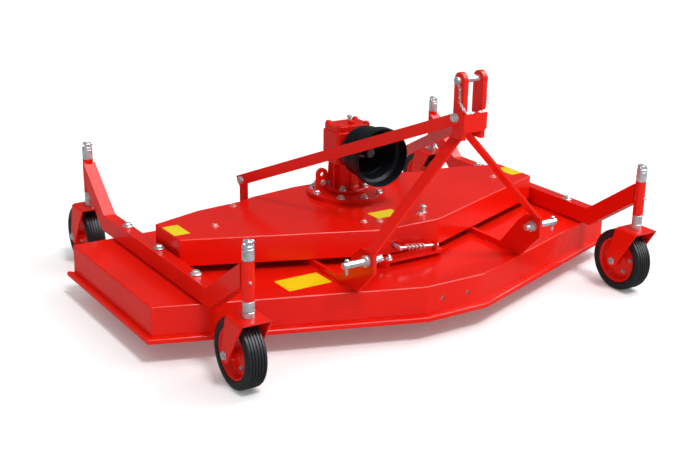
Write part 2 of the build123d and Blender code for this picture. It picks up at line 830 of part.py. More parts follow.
# A stub through the hole in the cover's nose, and the rod from it to the anchor on the lever
lever_top = deck_top + lever_boss_height + lever_plate
stub_end_y = cover_nose_y - stub_outside
rod_start = Vector(stub_x, stub_end_y + stub_radius, stub_z)
rod_along = Vector(rod_right_x, rod_right_y, rod_right_z) - rod_start
rod_length = rod_along.length + rod_end
rod_along = rod_along.normalized()
rod_plane = Plane(origin=rod_start, z_dir=rod_along)
spring_plane = Plane(origin=rod_start + rod_along * spring_start, z_dir=rod_along)
anchor_top = rod_right_z + anchor_crown + rod_radius
with BuildPart() as anchor:
    with BuildSketch(Plane.YZ.offset(rod_right_x - anchor_plate / 2)):
        with Locations((rod_right_y, (lever_top + anchor_top) / 2)):
            Rectangle(anchor_width, anchor_top - lever_top)
    extrude(amount=anchor_plate)
    with BuildSketch(rod_plane):
        Circle(rod_radius)
    extrude(amount=rod_length, mode=Mode.SUBTRACT)
write(anchor, "tension_anchor")

with BuildPart() as rod:
    with BuildSketch(Plane.XZ.offset(-cover_nose_y - stub_inside)):
        with Locations((stub_x, stub_z)):
            Circle(stub_radius)
    extrude(amount=stub_inside + stub_outside)
    with BuildSketch(rod_plane):
        Circle(rod_radius)
    extrude(amount=rod_length)
write(rod, "tension_rod")

with BuildPart() as spring:
    with BuildSketch(spring_plane):
        Circle(spring_radius)
        Circle(rod_radius, mode=Mode.SUBTRACT)
    extrude(amount=spring_length)
write(spring, "tension_spring")
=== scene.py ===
"""Finishing mower: finishes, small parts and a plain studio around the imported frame.

All lengths are in metres, +Z up, with the hitch at -Y and the floor at Z = 0.
"""

import logging
import math
from collections.abc import Callable, Iterator, Sequence
from contextlib import contextmanager
from dataclasses import dataclass
from enum import Enum

import bmesh
import bpy
from mathutils import Matrix, Vector


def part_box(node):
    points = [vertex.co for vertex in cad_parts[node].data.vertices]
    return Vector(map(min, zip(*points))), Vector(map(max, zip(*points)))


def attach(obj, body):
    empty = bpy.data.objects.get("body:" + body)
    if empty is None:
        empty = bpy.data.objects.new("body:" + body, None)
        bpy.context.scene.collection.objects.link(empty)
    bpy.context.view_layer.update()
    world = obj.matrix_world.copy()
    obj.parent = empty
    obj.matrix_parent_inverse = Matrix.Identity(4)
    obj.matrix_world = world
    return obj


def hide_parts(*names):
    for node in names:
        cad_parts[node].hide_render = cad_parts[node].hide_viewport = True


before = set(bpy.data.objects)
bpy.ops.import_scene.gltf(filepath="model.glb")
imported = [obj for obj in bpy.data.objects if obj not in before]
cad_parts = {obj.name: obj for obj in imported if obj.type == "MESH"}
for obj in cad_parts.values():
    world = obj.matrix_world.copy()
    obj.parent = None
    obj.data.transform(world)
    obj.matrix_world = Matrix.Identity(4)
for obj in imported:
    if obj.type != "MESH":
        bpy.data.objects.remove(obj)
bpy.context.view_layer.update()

SIDES = (("left", -1), ("right", 1))
CASTORS = ("front_left", "front_right", "rear_left", "rear_right")
BLADES = ("left", "centre", "right")
MAIN = "mower_frame"
UP = (0.0, 0.0, 1.0)
WHITE = (1.0, 1.0, 1.0, 1.0)
log = logging.getLogger("mower")

# Points this near to a plane or an outline count as on it
TINY = 0.0004
# Faces that lean less than this against each other count as one flat face
FLAT_ANGLE = math.radians(0.6)

# Noise values between which a finish goes from its shade to its colour
CLOUD_EDGES = (0.35, 0.62)
# Noise values between which its roughness goes from lowest to highest
ROUGHNESS_EDGES = (0.3, 0.7)
CLOUD_DETAIL = 5.0
GRAIN_DETAIL = 3.0

# Shares of the hexagon's radius: chamfer, flat face on top, radius of the stud
HEAD_CHAMFER = 0.13
HEAD_FLAT = 0.62
STUD_RADIUS = 0.55
# Shares of the stud's radius in the thread's root and at its end, and the thread's pitch
THREAD_ROOT = 0.88
THREAD_END = 0.75
THREAD_PITCH = 0.0015
# Share of the washer's height that its eased edge takes
WASHER_EDGE = 0.25
# Turn of a piece's first fastener and of each one after it, in radians
FIRST_SPIN = 0.4
NEXT_SPIN = 0.9

# Height of a weld's coin over its width, and how its size waves along the bead
COIN_FLATNESS = 0.6
COIN_WAVE = 0.12
COIN_WAVE_STEP = 2.4

Point = tuple[float, float, float]
Station = tuple[float, float]


class Element(Enum):
    """Kinds of mesh element that a selection can hold."""

    VERTEX = "VERT"
    EDGE = "EDGE"
    FACE = "FACE"


class Grain(Enum):
    """Directions in which a finish shows its grain."""

    EVEN = (1.0, 1.0, 1.0)
    ALONG_X = (0.06, 1.0, 1.0)
    AROUND_Z = (0.3, 0.3, 3.0)


@dataclass(frozen=True)
class Finish:
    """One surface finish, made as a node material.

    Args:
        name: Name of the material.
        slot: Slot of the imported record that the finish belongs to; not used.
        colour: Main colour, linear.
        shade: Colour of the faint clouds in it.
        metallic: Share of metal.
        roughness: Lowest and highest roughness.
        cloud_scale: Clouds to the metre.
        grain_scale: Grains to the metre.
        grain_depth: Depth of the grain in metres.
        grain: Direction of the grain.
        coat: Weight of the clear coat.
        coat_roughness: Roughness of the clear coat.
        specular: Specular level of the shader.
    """

    name: str
    slot: str
    colour: Point
    shade: Point
    metallic: float
    roughness: tuple[float, float]
    cloud_scale: float
    grain_scale: float
    grain_depth: float
    grain: Grain = Grain.EVEN
    coat: float = 0.0
    coat_roughness: float = 0.05
    specular: float = 0.5

    def material(self) -> bpy.types.Material:
        """Find this finish's material, or make it.

        Returns:
            The node material.
        """
        made = bpy.data.materials.get(self.name)
        if made:
            return made
        made = bpy.data.materials.new(self.name)
        made.use_nodes = True
        nodes, links = made.node_tree.nodes, made.node_tree.links
        shader = nodes["Principled BSDF"]
        shader.inputs["Metallic"].default_value = self.metallic
        shader.inputs["Coat Weight"].default_value = self.coat
        shader.inputs["Coat Roughness"].default_value = self.coat_roughness
        shader.inputs["Specular IOR Level"].default_value = self.specular
        position = nodes.new("ShaderNodeTexCoord")

        clouds = nodes.new("ShaderNodeTexNoise")
        clouds.inputs["Scale"].default_value = self.cloud_scale
        clouds.inputs["Detail"].default_value = CLOUD_DETAIL
        links.new(position.outputs["Object"], clouds.inputs["Vector"])
        tint = nodes.new("ShaderNodeValToRGB")
        ends = zip(tint.color_ramp.elements, CLOUD_EDGES, (self.shade, self.colour))
        for end, edge, tone in ends:
            end.position = edge
            end.color = (*tone, 1.0)
        links.new(clouds.outputs["Fac"], tint.inputs["Fac"])
        links.new(tint.outputs["Color"], shader.inputs["Base Color"])

        stretch = nodes.new("ShaderNodeMapping")
        stretch.inputs["Scale"].default_value = self.grain.value
        links.new(position.outputs["Object"], stretch.inputs["Vector"])
        grains = nodes.new("ShaderNodeTexNoise")
        grains.inputs["Scale"].default_value = self.grain_scale
        grains.inputs["Detail"].default_value = GRAIN_DETAIL
        links.new(stretch.outputs["Vector"], grains.inputs["Vector"])
        spread = nodes.new("ShaderNodeMapRange")
        for end, edge, level in zip(("Min", "Max"), ROUGHNESS_EDGES, self.roughness):
            spread.inputs["From " + end].default_value = edge
            spread.inputs["To " + end].default_value = level
        links.new(clouds.outputs["Fac"], spread.inputs["Value"])
        links.new(spread.outputs["Result"], shader.inputs["Roughness"])
        bump = nodes.new("ShaderNodeBump")
        bump.inputs["Strength"].default_value = 1.0
        bump.inputs["Distance"].default_value = self.grain_depth
        links.new(grains.outputs["Fac"], bump.inputs["Height"])
        links.new(bump.outputs["Normal"], shader.inputs["Normal"])
        return made


RED_PAINT = Finish(
    "gloss_red_enamel", "red_paint", (0.80, 0.0090, 0.0022), (0.72, 0.0070, 0.0018), 0.0,
    (0.20, 0.28), 2.2, 260.0, 0.00002, coat=0.22, coat_roughness=0.10, specular=0.18,
)
CAST_PAINT = Finish(
    "red_enamel_on_casting", "red_paint", (0.74, 0.0080, 0.0030), (0.62, 0.0065, 0.0026), 0.0,
    (0.26, 0.38), 9.0, 420.0, 0.00020, coat=0.12, coat_roughness=0.12, specular=0.18,
)
ZINC = Finish(
    "bright_zinc_plate", "zinc_steel", (0.78, 0.80, 0.83), (0.50, 0.53, 0.57), 0.7,
    (0.18, 0.32), 60.0, 700.0, 0.00002,
)
# Zinc with a pink tint and redder clouds, for the bolts on the cover's top
PINK_TINTED_ZINC = Finish(
    "pink_tinted_zinc", "zinc_steel", (0.80, 0.42, 0.40), (0.66, 0.16, 0.14), 0.4,
    (0.26, 0.40), 120.0, 700.0, 0.00003,
)
TURNED_ZINC = Finish(
    "turned_zinc_spacer", "zinc_steel", (0.72, 0.75, 0.79), (0.48, 0.51, 0.55), 0.6,
    (0.26, 0.40), 50.0, 420.0, 0.00008, grain=Grain.AROUND_Z,
)
DARK_STEEL = Finish(
    "oiled_dark_steel", "dark_steel", (0.22, 0.22, 0.23), (0.13, 0.13, 0.14), 0.9,
    (0.30, 0.48), 30.0, 300.0, 0.00008, grain=Grain.ALONG_X,
)
RUBBER = Finish(
    "ribbed_tyre_rubber", "tyre_rubber", (0.009, 0.010, 0.012), (0.017, 0.018, 0.021), 0.0,
    (0.36, 0.50), 24.0, 900.0, 0.00008, specular=0.4,
)
GUARD_PLASTIC = Finish(
    "black_guard_plastic", "black_plastic", (0.003, 0.0045, 0.0065), (0.006, 0.008, 0.011), 0.0,
    (0.30, 0.40), 14.0, 500.0, 0.00005, specular=0.20,
)
BREATHER_PLASTIC = Finish(
    "grey_breather_plastic", "black_plastic", (0.45, 0.45, 0.46), (0.36, 0.36, 0.37), 0.0,
    (0.35, 0.45), 40.0, 600.0, 0.00004,
)
LABEL_FILM = Finish(
    "yellow_label_film", "red_paint", (0.86, 0.66, 0.008), (0.82, 0.60, 0.006), 0.0,
    (0.24, 0.32), 12.0, 500.0, 0.00001, coat=0.1, coat_roughness=0.1, specular=0.3,
)
SHAFT_STEEL = Finish(
    "dull_shaft_steel", "zinc_steel", (0.16, 0.16, 0.17), (0.09, 0.09, 0.10), 0.9,
    (0.32, 0.46), 40.0, 300.0, 0.00006,
)
SPRING_PAINT = Finish(
    "painted_spring_wire", "zinc_steel", (0.72, 0.50, 0.49), (0.62, 0.22, 0.20), 0.3,
    (0.22, 0.34), 120.0, 600.0, 0.00003,
)


def pick(*objects: bpy.types.Object) -> None:
    """Select exactly these objects and make the first one active.

    Args:
        objects: The objects to select.
    """
    bpy.ops.object.select_all(action="DESELECT")
    for item in objects:
        item.select_set(True)
    bpy.context.view_layer.objects.active = objects[0]


@contextmanager
def editing(piece: bpy.types.Object, kind: Element = Element.FACE) -> Iterator[None]:
    """Hold a piece in edit mode with everything selected.

    Args:
        piece: The mesh object to edit.
        kind: The kind of element that selections hold.

    Returns:
        A context in which mesh operators act on the piece.
    """
    pick(piece)
    bpy.ops.object.mode_set(mode="EDIT")
    bpy.ops.mesh.select_mode(type=kind.value)
    bpy.ops.mesh.select_all(action="SELECT")
    yield
    bpy.ops.object.mode_set(mode="OBJECT")


def choose(piece: bpy.types.Object, kind: Element, wanted: Callable[..., bool]) -> int:
    """Select the elements of a piece in edit mode that pass a test.

    Args:
        piece: The mesh object in edit mode.
        kind: The kind of element that is tested.
        wanted: Says whether an element is selected.

    Returns:
        The number of elements selected.
    """
    bpy.ops.mesh.select_all(action="DESELECT")
    mesh = bmesh.from_edit_mesh(piece.data)
    mesh.normal_update()
    items = {Element.VERTEX: mesh.verts, Element.EDGE: mesh.edges, Element.FACE: mesh.faces}[kind]
    found = [item for item in items if wanted(item)]
    for item in found:
        item.select_set(True)
    bmesh.update_edit_mesh(piece.data)
    return len(found)


def turn_to(axis: Sequence[float], origin: Sequence[float], spin: float = 0.0) -> Matrix:
    """Make the matrix that stands a Z-up shape on a point along an axis.

    Args:
        axis: The direction that the shape's Z takes.
        origin: The point that the shape's origin takes.
        spin: Turn about the shape's own Z, in radians.

    Returns:
        The placement matrix.
    """
    lean = Vector(axis).to_track_quat("Z", "Y").to_matrix().to_4x4()
    return Matrix.Translation(Vector(origin)) @ lean @ Matrix.Rotation(spin, 4, "Z")


def place(piece: bpy.types.Object, matrix: Matrix) -> bpy.types.Object:
    """Move a piece by a matrix and leave its object at the origin.

    Args:
        piece: The piece to move.
        matrix: The placement matrix.

    Returns:
        The same piece.
    """
    piece.matrix_world = matrix
    pick(piece)
    bpy.ops.object.transform_apply(location=True, rotation=True, scale=True)
    return piece


def turned(name: str, stations: Sequence[Station], sides: int = 40) -> bpy.types.Object:
    """Lathe a shape about Z by drawing a ring out through its stations.

    Args:
        name: Name of the piece.
        stations: Radius and height of each ring. A last ring equal to the first closes
            the section, and otherwise both ends are capped.
        sides: Number of sides of each ring.

    Returns:
        The new piece.
    """
    bpy.ops.object.select_all(action="DESELECT")
    radius, height = stations[0]
    bpy.ops.mesh.primitive_circle_add(vertices=sides, radius=radius, location=(0, 0, height))
    piece = bpy.context.object
    piece.name = piece.data.name = name
    with editing(piece, Element.VERTEX):
        for next_radius, next_height in stations[1:]:
            step = (0, 0, next_height - height)
            bpy.ops.mesh.extrude_region_move(TRANSFORM_OT_translate={"value": step})
            share = next_radius / radius
            bpy.ops.transform.resize(value=(share, share, 1), center_override=(0, 0, next_height))
            radius, height = next_radius, next_height
        bpy.ops.mesh.select_all(action="SELECT")
        bpy.ops.mesh.remove_doubles(threshold=1e-6)
        bpy.ops.mesh.fill_holes(sides=0)
        bpy.ops.mesh.select_all(action="SELECT")
        bpy.ops.mesh.normals_make_consistent(inside=False)
    return place(piece, Matrix.Translation((0, 0, stations[0][1])))


def on_circle(radius: float, count: int, start: float = 0.0) -> list[Station]:
    """Spread points evenly on a circle about the origin.

    Args:
        radius: Radius of the circle.
        count: Number of points.
        start: Angle of the first point, in radians.

    Returns:
        Both coordinates of each point.
    """
    angles = [start + 2 * math.pi * number / count for number in range(count)]
    return [(radius * math.cos(angle), radius * math.sin(angle)) for angle in angles]


def block(name: str, low: Sequence[float], high: Sequence[float]) -> bpy.types.Object:
    """Add a cuboid between two corners.

    Args:
        name: Name of the piece.
        low: Lowest corner.
        high: Highest corner.

    Returns:
        The new piece, with its place in its mesh.
    """
    low, high = Vector(low), Vector(high)
    bpy.ops.object.select_all(action="DESELECT")
    bpy.ops.mesh.primitive_cube_add(size=1.0, location=(low + high) / 2, scale=high - low)
    piece = bpy.context.object
    piece.name = piece.data.name = name
    pick(piece)
    bpy.ops.object.transform_apply(location=True, rotation=True, scale=True)
    return piece


def joined(name: str, pieces: Sequence[bpy.types.Object]) -> bpy.types.Object:
    """Join several pieces into one.

    Args:
        name: Name of the joined piece.
        pieces: The pieces to join.

    Returns:
        The joined piece.
    """
    pick(*pieces)
    if len(pieces) > 1:
        bpy.ops.object.join()
    whole = bpy.context.view_layer.objects.active
    whole.name = whole.data.name = name
    pick(whole)
    bpy.ops.object.transform_apply(location=True, rotation=True, scale=True)
    return whole


def repeated(
    name: str, model: bpy.types.Object, placements: Sequence[Matrix]
) -> bpy.types.Object:
    """Copy a model to several places and join the copies.

    Args:
        name: Name of the joined copies.
        model: The piece to copy, which is removed afterwards.
        placements: One matrix for each copy.

    Returns:
        The joined copies.
    """
    copies = []
    for matrix in placements:
        twin = bpy.data.objects.new(name, model.data.copy())
        bpy.context.scene.collection.objects.link(twin)
        twin.matrix_world = matrix
        copies.append(twin)
    bpy.data.objects.remove(model)
    return joined(name, copies)


def copied_node(name: str, node: str) -> bpy.types.Object:
    """Copy a solid of the frame as a clean mesh of flat faces.

    Args:
        name: Name of the copy.
        node: Name of the node.

    Returns:
        The copy, merged and freed of the seams inside its flat faces.
    """
    piece = bpy.data.objects.new(name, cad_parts[node].data.copy())
    bpy.context.scene.collection.objects.link(piece)
    with editing(piece):
        bpy.ops.mesh.customdata_custom_splitnormals_clear()
        bpy.ops.mesh.remove_doubles(threshold=2e-6)
        bpy.ops.mesh.dissolve_limited(angle_limit=FLAT_ANGLE)
    return piece


def apply_modifier(piece: bpy.types.Object, kind: str, **settings: object) -> None:
    """Add a modifier to a piece and apply it.

    Args:
        piece: The piece to change.
        kind: The type of the modifier.
        settings: Values of the modifier's properties.
    """
    pick(piece)
    modifier = piece.modifiers.new(kind.lower(), kind)
    for key, value in settings.items():
        setattr(modifier, key, value)
    bpy.ops.object.modifier_apply(modifier=modifier.name)


def combine(piece: bpy.types.Object, tool: bpy.types.Object, operation: str) -> None:
    """Unite a piece with a tool or cut it by the tool, and remove the tool.

    Args:
        piece: The piece that changes.
        tool: The piece that is united or that cuts.
        operation: UNION or DIFFERENCE.
    """
    apply_modifier(piece, "BOOLEAN", operation=operation, object=tool, solver="EXACT")
    bpy.data.objects.remove(tool)


def round_edges(
    piece: bpy.types.Object,
    radius: float,
    wanted: Callable[[bmesh.types.BMEdge], bool],
    segments: int = 4,
) -> None:
    """Round the chosen edges of a piece.

    Args:
        piece: The piece to change.
        radius: Radius of the rounding.
        wanted: Says whether an edge is rounded.
        segments: Number of strips in the rounding.
    """
    with editing(piece, Element.EDGE):
        if choose(piece, Element.EDGE, wanted):
            bpy.ops.mesh.bevel(offset=radius, segments=segments, affect="EDGES")


def finish(
    piece: bpy.types.Object,
    look: Finish,
    body: str = MAIN,
    nodes: Sequence[str] = (),
    edge: float = 0.0,
    segments: int = 2,
    angle: float = 40.0,
) -> None:
    """Ease the edges of a piece, shade it, dress it and seat it on its body.

    Args:
        piece: The piece to finish.
        look: Its finish.
        body: The body that it rides on.
        nodes: The nodes of the frame that it stands for.
        edge: Width of the eased edges, or zero.
        segments: Number of strips in an eased edge.
        angle: Least angle of an edge that is eased or stays sharp, in degrees.
    """
    if edge:
        apply_modifier(
            piece, "BEVEL", width=edge, segments=segments, limit_method="ANGLE",
            angle_limit=math.radians(angle), use_clamp_overlap=True,
        )
    pick(piece)
    bpy.ops.object.shade_smooth_by_angle(angle=math.radians(angle))
    apply_modifier(piece, "WEIGHTED_NORMAL", keep_sharp=True, weight=50)
    piece.data.materials.clear()
    piece.data.materials.append(look.material())
    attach(piece, body)
    if nodes:
        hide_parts(*nodes)
    log.info("%s: %d faces on %s", piece.name, len(piece.data.polygons), body)


def dress_node(node: str, look: Finish, body: str = MAIN, *, edge: float) -> None:
    """Stand a copy of a solid with eased edges in for the solid.

    Args:
        node: Name of the node.
        look: Its finish.
        body: The body that it rides on.
        edge: Width of the eased edges.
    """
    finish(copied_node(node + "_dressed", node), look, body, (node,), edge)


@dataclass
class Fastener:
    """Hexagon bolt head or nut on a round washer, standing on Z = 0.

    Args:
        across: Radius of the hexagon's corners.
        height: Height of the hexagon.
        washer: Radius of the washer, or zero for none.
        washer_height: Height of the washer.
        stud: Height of the threaded end above a nut, or zero for a bolt head.
    """

    across: float
    height: float
    washer: float = 0.0
    washer_height: float = 0.0
    stud: float = 0.0

    def model(self) -> bpy.types.Object:
        """Make one fastener at the origin.

        Returns:
            The joined head, washer and stud.
        """
        low = self.washer_height
        top = low + self.height
        chamfer = HEAD_CHAMFER * self.across
        pieces = [
            turned(
                "head",
                (
                    (self.across, low),
                    (self.across, top - chamfer),
                    (self.across - chamfer, top),
                    (HEAD_FLAT * self.across, top),
                ),
                sides=6,
            )
        ]
        if self.washer:
            edge = WASHER_EDGE * self.washer_height
            pieces.append(
                turned(
                    "washer",
                    (
                        (self.washer - edge, 0.0),
                        (self.washer, edge),
                        (self.washer, low - edge),
                        (self.washer - edge, low),
                    ),
                    sides=28,
                )
            )
        if self.stud:
            radius, pitch = STUD_RADIUS * self.across, THREAD_PITCH
            stations: list[Station] = [(radius, top - pitch)]
            for turn in range(int(self.stud / pitch)):
                stations.append((THREAD_ROOT * radius, top + (turn + 0.5) * pitch))
                stations.append((radius, top + (turn + 1) * pitch))
            stations.append((THREAD_END * radius, stations[-1][1] + 0.5 * pitch))
            pieces.append(turned("stud", stations, sides=16))
        return joined("fastener", pieces)

    def set_at(
        self,
        name: str,
        places: Sequence[tuple[Point, Point]],
        body: str = MAIN,
        look: Finish = ZINC,
    ) -> None:
        """Stand fasteners at several places as one piece.

        Args:
            name: Name of the piece.
            places: Foot and axis of each fastener.
            body: The body that they ride on.
            look: Their finish.
        """
        matrices = [
            turn_to(axis, foot, spin=FIRST_SPIN + NEXT_SPIN * number)
            for number, (foot, axis) in enumerate(places)
        ]
        finish(repeated(name, self.model(), matrices), look, body, angle=30.0)


@dataclass
class Weld:
    """Bead of weld laid as a row of overlapping coins.

    Args:
        radius: Radius of a coin.
        step: Distance between coins.
    """

    radius: float
    step: float

    def lay(self, name: str, runs: Sequence[tuple[Point, Point]]) -> None:
        """Lay straight beads as one piece.

        Args:
            name: Name of the piece.
            runs: Start and end of each bead.
        """
        bpy.ops.object.select_all(action="DESELECT")
        bpy.ops.mesh.primitive_uv_sphere_add(segments=8, ring_count=5, radius=self.radius)
        coin = bpy.context.object
        with editing(coin):
            bpy.ops.transform.resize(value=(1, 1, COIN_FLATNESS))
        matrices = []
        for start, end in runs:
            along = Vector(end) - Vector(start)
            count = max(1, round(along.length / self.step))
            for number in range(count):
                spot = Vector(start) + along * (number / count)
                wave = 1 + COIN_WAVE * math.sin(COIN_WAVE_STEP * number)
                matrices.append(turn_to(along, spot) @ Matrix.Scale(wave, 4))
        finish(repeated(name, coin, matrices), RED_PAINT, angle=80.0)


@dataclass
class WireRing:
    """Ring of round wire, lying about Z.

    Args:
        radius: Radius of the ring's middle.
        wire: Radius of the wire.
    """

    radius: float
    wire: float

    def model(self, stretch: float = 1.0) -> bpy.types.Object:
        """Make one ring at the origin.

        Args:
            stretch: Length of the ring as a share of its width.

        Returns:
            The ring.
        """
        bpy.ops.object.select_all(action="DESELECT")
        bpy.ops.mesh.primitive_torus_add(
            major_radius=self.radius, minor_radius=self.wire, major_segments=28, minor_segments=8
        )
        ring = bpy.context.object
        with editing(ring):
            bpy.ops.transform.resize(value=(stretch, 1, 1))
        return ring


@dataclass
class Deck:
    """Folded deck shell with its lip and blank label.

    Args:
        fold: Outer radius of the folded edges.
        lip: Height of the lip.
        lip_round: Radius of the lip's upper edge.
        lip_from: Least distance of the lip's outer edge from the deck's outline.
        half_width: Half the width of the deck's top.
        nose_y: Front edge.
        front_corner_y: Where the sides begin.
        nose_half_width: Half the width of the front edge.
        label_low: Low corner of the label on the top.
        label_high: High corner of the label on the top.
    """

    fold: float = 0.005
    lip: float = 0.016
    lip_round: float = 0.006
    lip_from: float = 0.015
    half_width: float = 0.945
    nose_y: float = -0.630
    front_corner_y: float = -0.339
    nose_half_width: float = 0.1174
    label_low: Station = (-0.516, -0.439)
    label_high: Station = (-0.357, -0.341)

    def outside(self, spot: Vector) -> float:
        """Measure how far a point lies outside the deck's outline, in metres."""
        low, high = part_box("deck_top_plate")
        run = Vector((self.half_width - self.nose_half_width, self.front_corner_y - self.nose_y))
        normal = Vector((run.y, -run.x)).normalized()
        slope = normal.dot(Vector((abs(spot.x) - self.nose_half_width, spot.y - self.nose_y)))
        return max(slope, abs(spot.x) - high.x, low.y - spot.y, spot.y - high.y)

    def build(self) -> None:
        """Build the shell and lay the label on it."""
        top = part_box("deck_top_plate")[1].z
        lip_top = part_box("nose_skirt")[0].z + self.lip
        nodes = ("deck_top_plate", "nose_skirt", "front_skirts", "side_skirts", "rear_skirt")
        shell = copied_node("deck_shell", nodes[0])
        for node in nodes[1:]:
            combine(shell, copied_node(node + "_copy", node), "UNION")
        with editing(shell):
            bpy.ops.mesh.remove_doubles(threshold=1e-5)
            bpy.ops.mesh.dissolve_limited(angle_limit=FLAT_ANGLE)

        def folded(edge: bmesh.types.BMEdge) -> bool:
            ends = [vertex.co for vertex in edge.verts]
            return (
                all(abs(self.outside(end)) < TINY for end in ends)
                and all(end.z > lip_top - TINY for end in ends)
                and max(end.z for end in ends) > top - TINY
                and edge.calc_face_angle(0.0) > 0.1
            )

        def lip_edge(edge: bmesh.types.BMEdge) -> bool:
            ends = [vertex.co for vertex in edge.verts]
            return all(
                self.outside(end) > self.lip_from and abs(end.z - lip_top) < TINY for end in ends
            )

        round_edges(shell, self.fold, folded, segments=5)
        round_edges(shell, self.lip_round, lip_edge, segments=4)
        finish(shell, RED_PAINT, MAIN, nodes, edge=0.0012)
        Label(self.label_low, self.label_high, top).build("deck_label")


@dataclass
class Label:
    """Blank film label on a level face.

    Args:
        low: Low corner, X and Y.
        high: High corner, X and Y.
        height: Z of the face it lies on.
        thickness: Thickness of the film.
        corner: Radius of its corners.
    """

    low: Station
    high: Station
    height: float
    thickness: float = 0.0004
    corner: float = 0.004

    def build(self, name: str) -> None:
        """Build the label.

        Args:
            name: Name of the piece.
        """
        film = block(name, (*self.low, self.height), (*self.high, self.height + self.thickness))

        def upright(edge: bmesh.types.BMEdge) -> bool:
            return abs(edge.verts[0].co.z - edge.verts[1].co.z) > self.thickness / 2

        round_edges(film, self.corner, upright)
        finish(film, LABEL_FILM, edge=0.0001)


@dataclass
class BeltCover:
    """Sheet cover over the belts, with its bolts, knob and labels.

    Args:
        fold: Outer radius of the folded edges.
        hole: Radius of the hole in each end face.
        hole_place: Y and Z of that hole.
        shaft_y: Y of the gearbox's axis.
        shaft_room: Edges nearer than this to that axis stay sharp.
        bolts: X and Y of the bolts in the top.
        knob: X and Y of the hand knob.
        labels: Low and high corners of the labels.
    """

    fold: float = 0.0045
    hole: float = 0.0065
    hole_place: Station = (-0.104, 0.263)
    shaft_y: float = 0.032
    shaft_room: float = 0.06
    bolts: tuple[Station, ...] = (
        (-0.584, -0.064), (0.604, -0.075), (-0.129, -0.278), (-0.078, -0.298),
        (-0.430, 0.100), (0.430, 0.100), (0.085, -0.306),
    )
    knob: Station = (0.110, -0.291)
    labels: tuple[tuple[Station, Station], ...] = (
        ((-0.743, -0.088), (-0.687, 0.010)),
        ((0.687, -0.088), (0.743, 0.010)),
        ((-0.067, -0.272), (0.033, -0.206)),
    )

    def build(self) -> None:
        """Build the cover and all that is on it."""
        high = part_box("belt_cover")[1]
        cover = copied_node("belt_cover_sheet", "belt_cover")

        def folded(edge: bmesh.types.BMEdge) -> bool:
            ends = [vertex.co for vertex in edge.verts]
            outer = all(math.hypot(end.x, end.y - self.shaft_y) > self.shaft_room for end in ends)
            return outer and max(end.z for end in ends) > high.z - TINY

        round_edges(cover, self.fold, folded, segments=4)
        for _, sign in SIDES:
            drill = turned("drill", ((self.hole, -0.02), (self.hole, 0.02)), sides=24)
            place(drill, turn_to((1, 0, 0), (sign * high.x, *self.hole_place)))
            combine(cover, drill, "DIFFERENCE")
        finish(cover, RED_PAINT, MAIN, ("belt_cover",), edge=0.0007)
        dress_node("cover_posts", RED_PAINT, edge=0.001)
        Fastener(0.0095, 0.006, 0.013, 0.0016).set_at(
            "cover_bolts", [((x, y, high.z), UP) for x, y in self.bolts], look=PINK_TINTED_ZINC
        )
        self.build_knob(high.z)
        for number, (corner_low, corner_high) in enumerate(self.labels):
            Label(corner_low, corner_high, high.z).build(f"cover_label_{number}")

    def build_knob(self, height: float) -> None:
        """Build the hand knob on its stem.

        Args:
            height: Z of the cover's top.
        """
        knob = turned(
            "cover_knob",
            (
                (0.014, 0.0), (0.014, 0.003), (0.006, 0.004), (0.006, 0.012),
                (0.011, 0.015), (0.0125, 0.020), (0.0105, 0.025), (0.005, 0.0275),
            ),
            sides=24,
        )
        place(knob, turn_to(UP, (*self.knob, height)))
        finish(knob, ZINC, edge=0.0006)


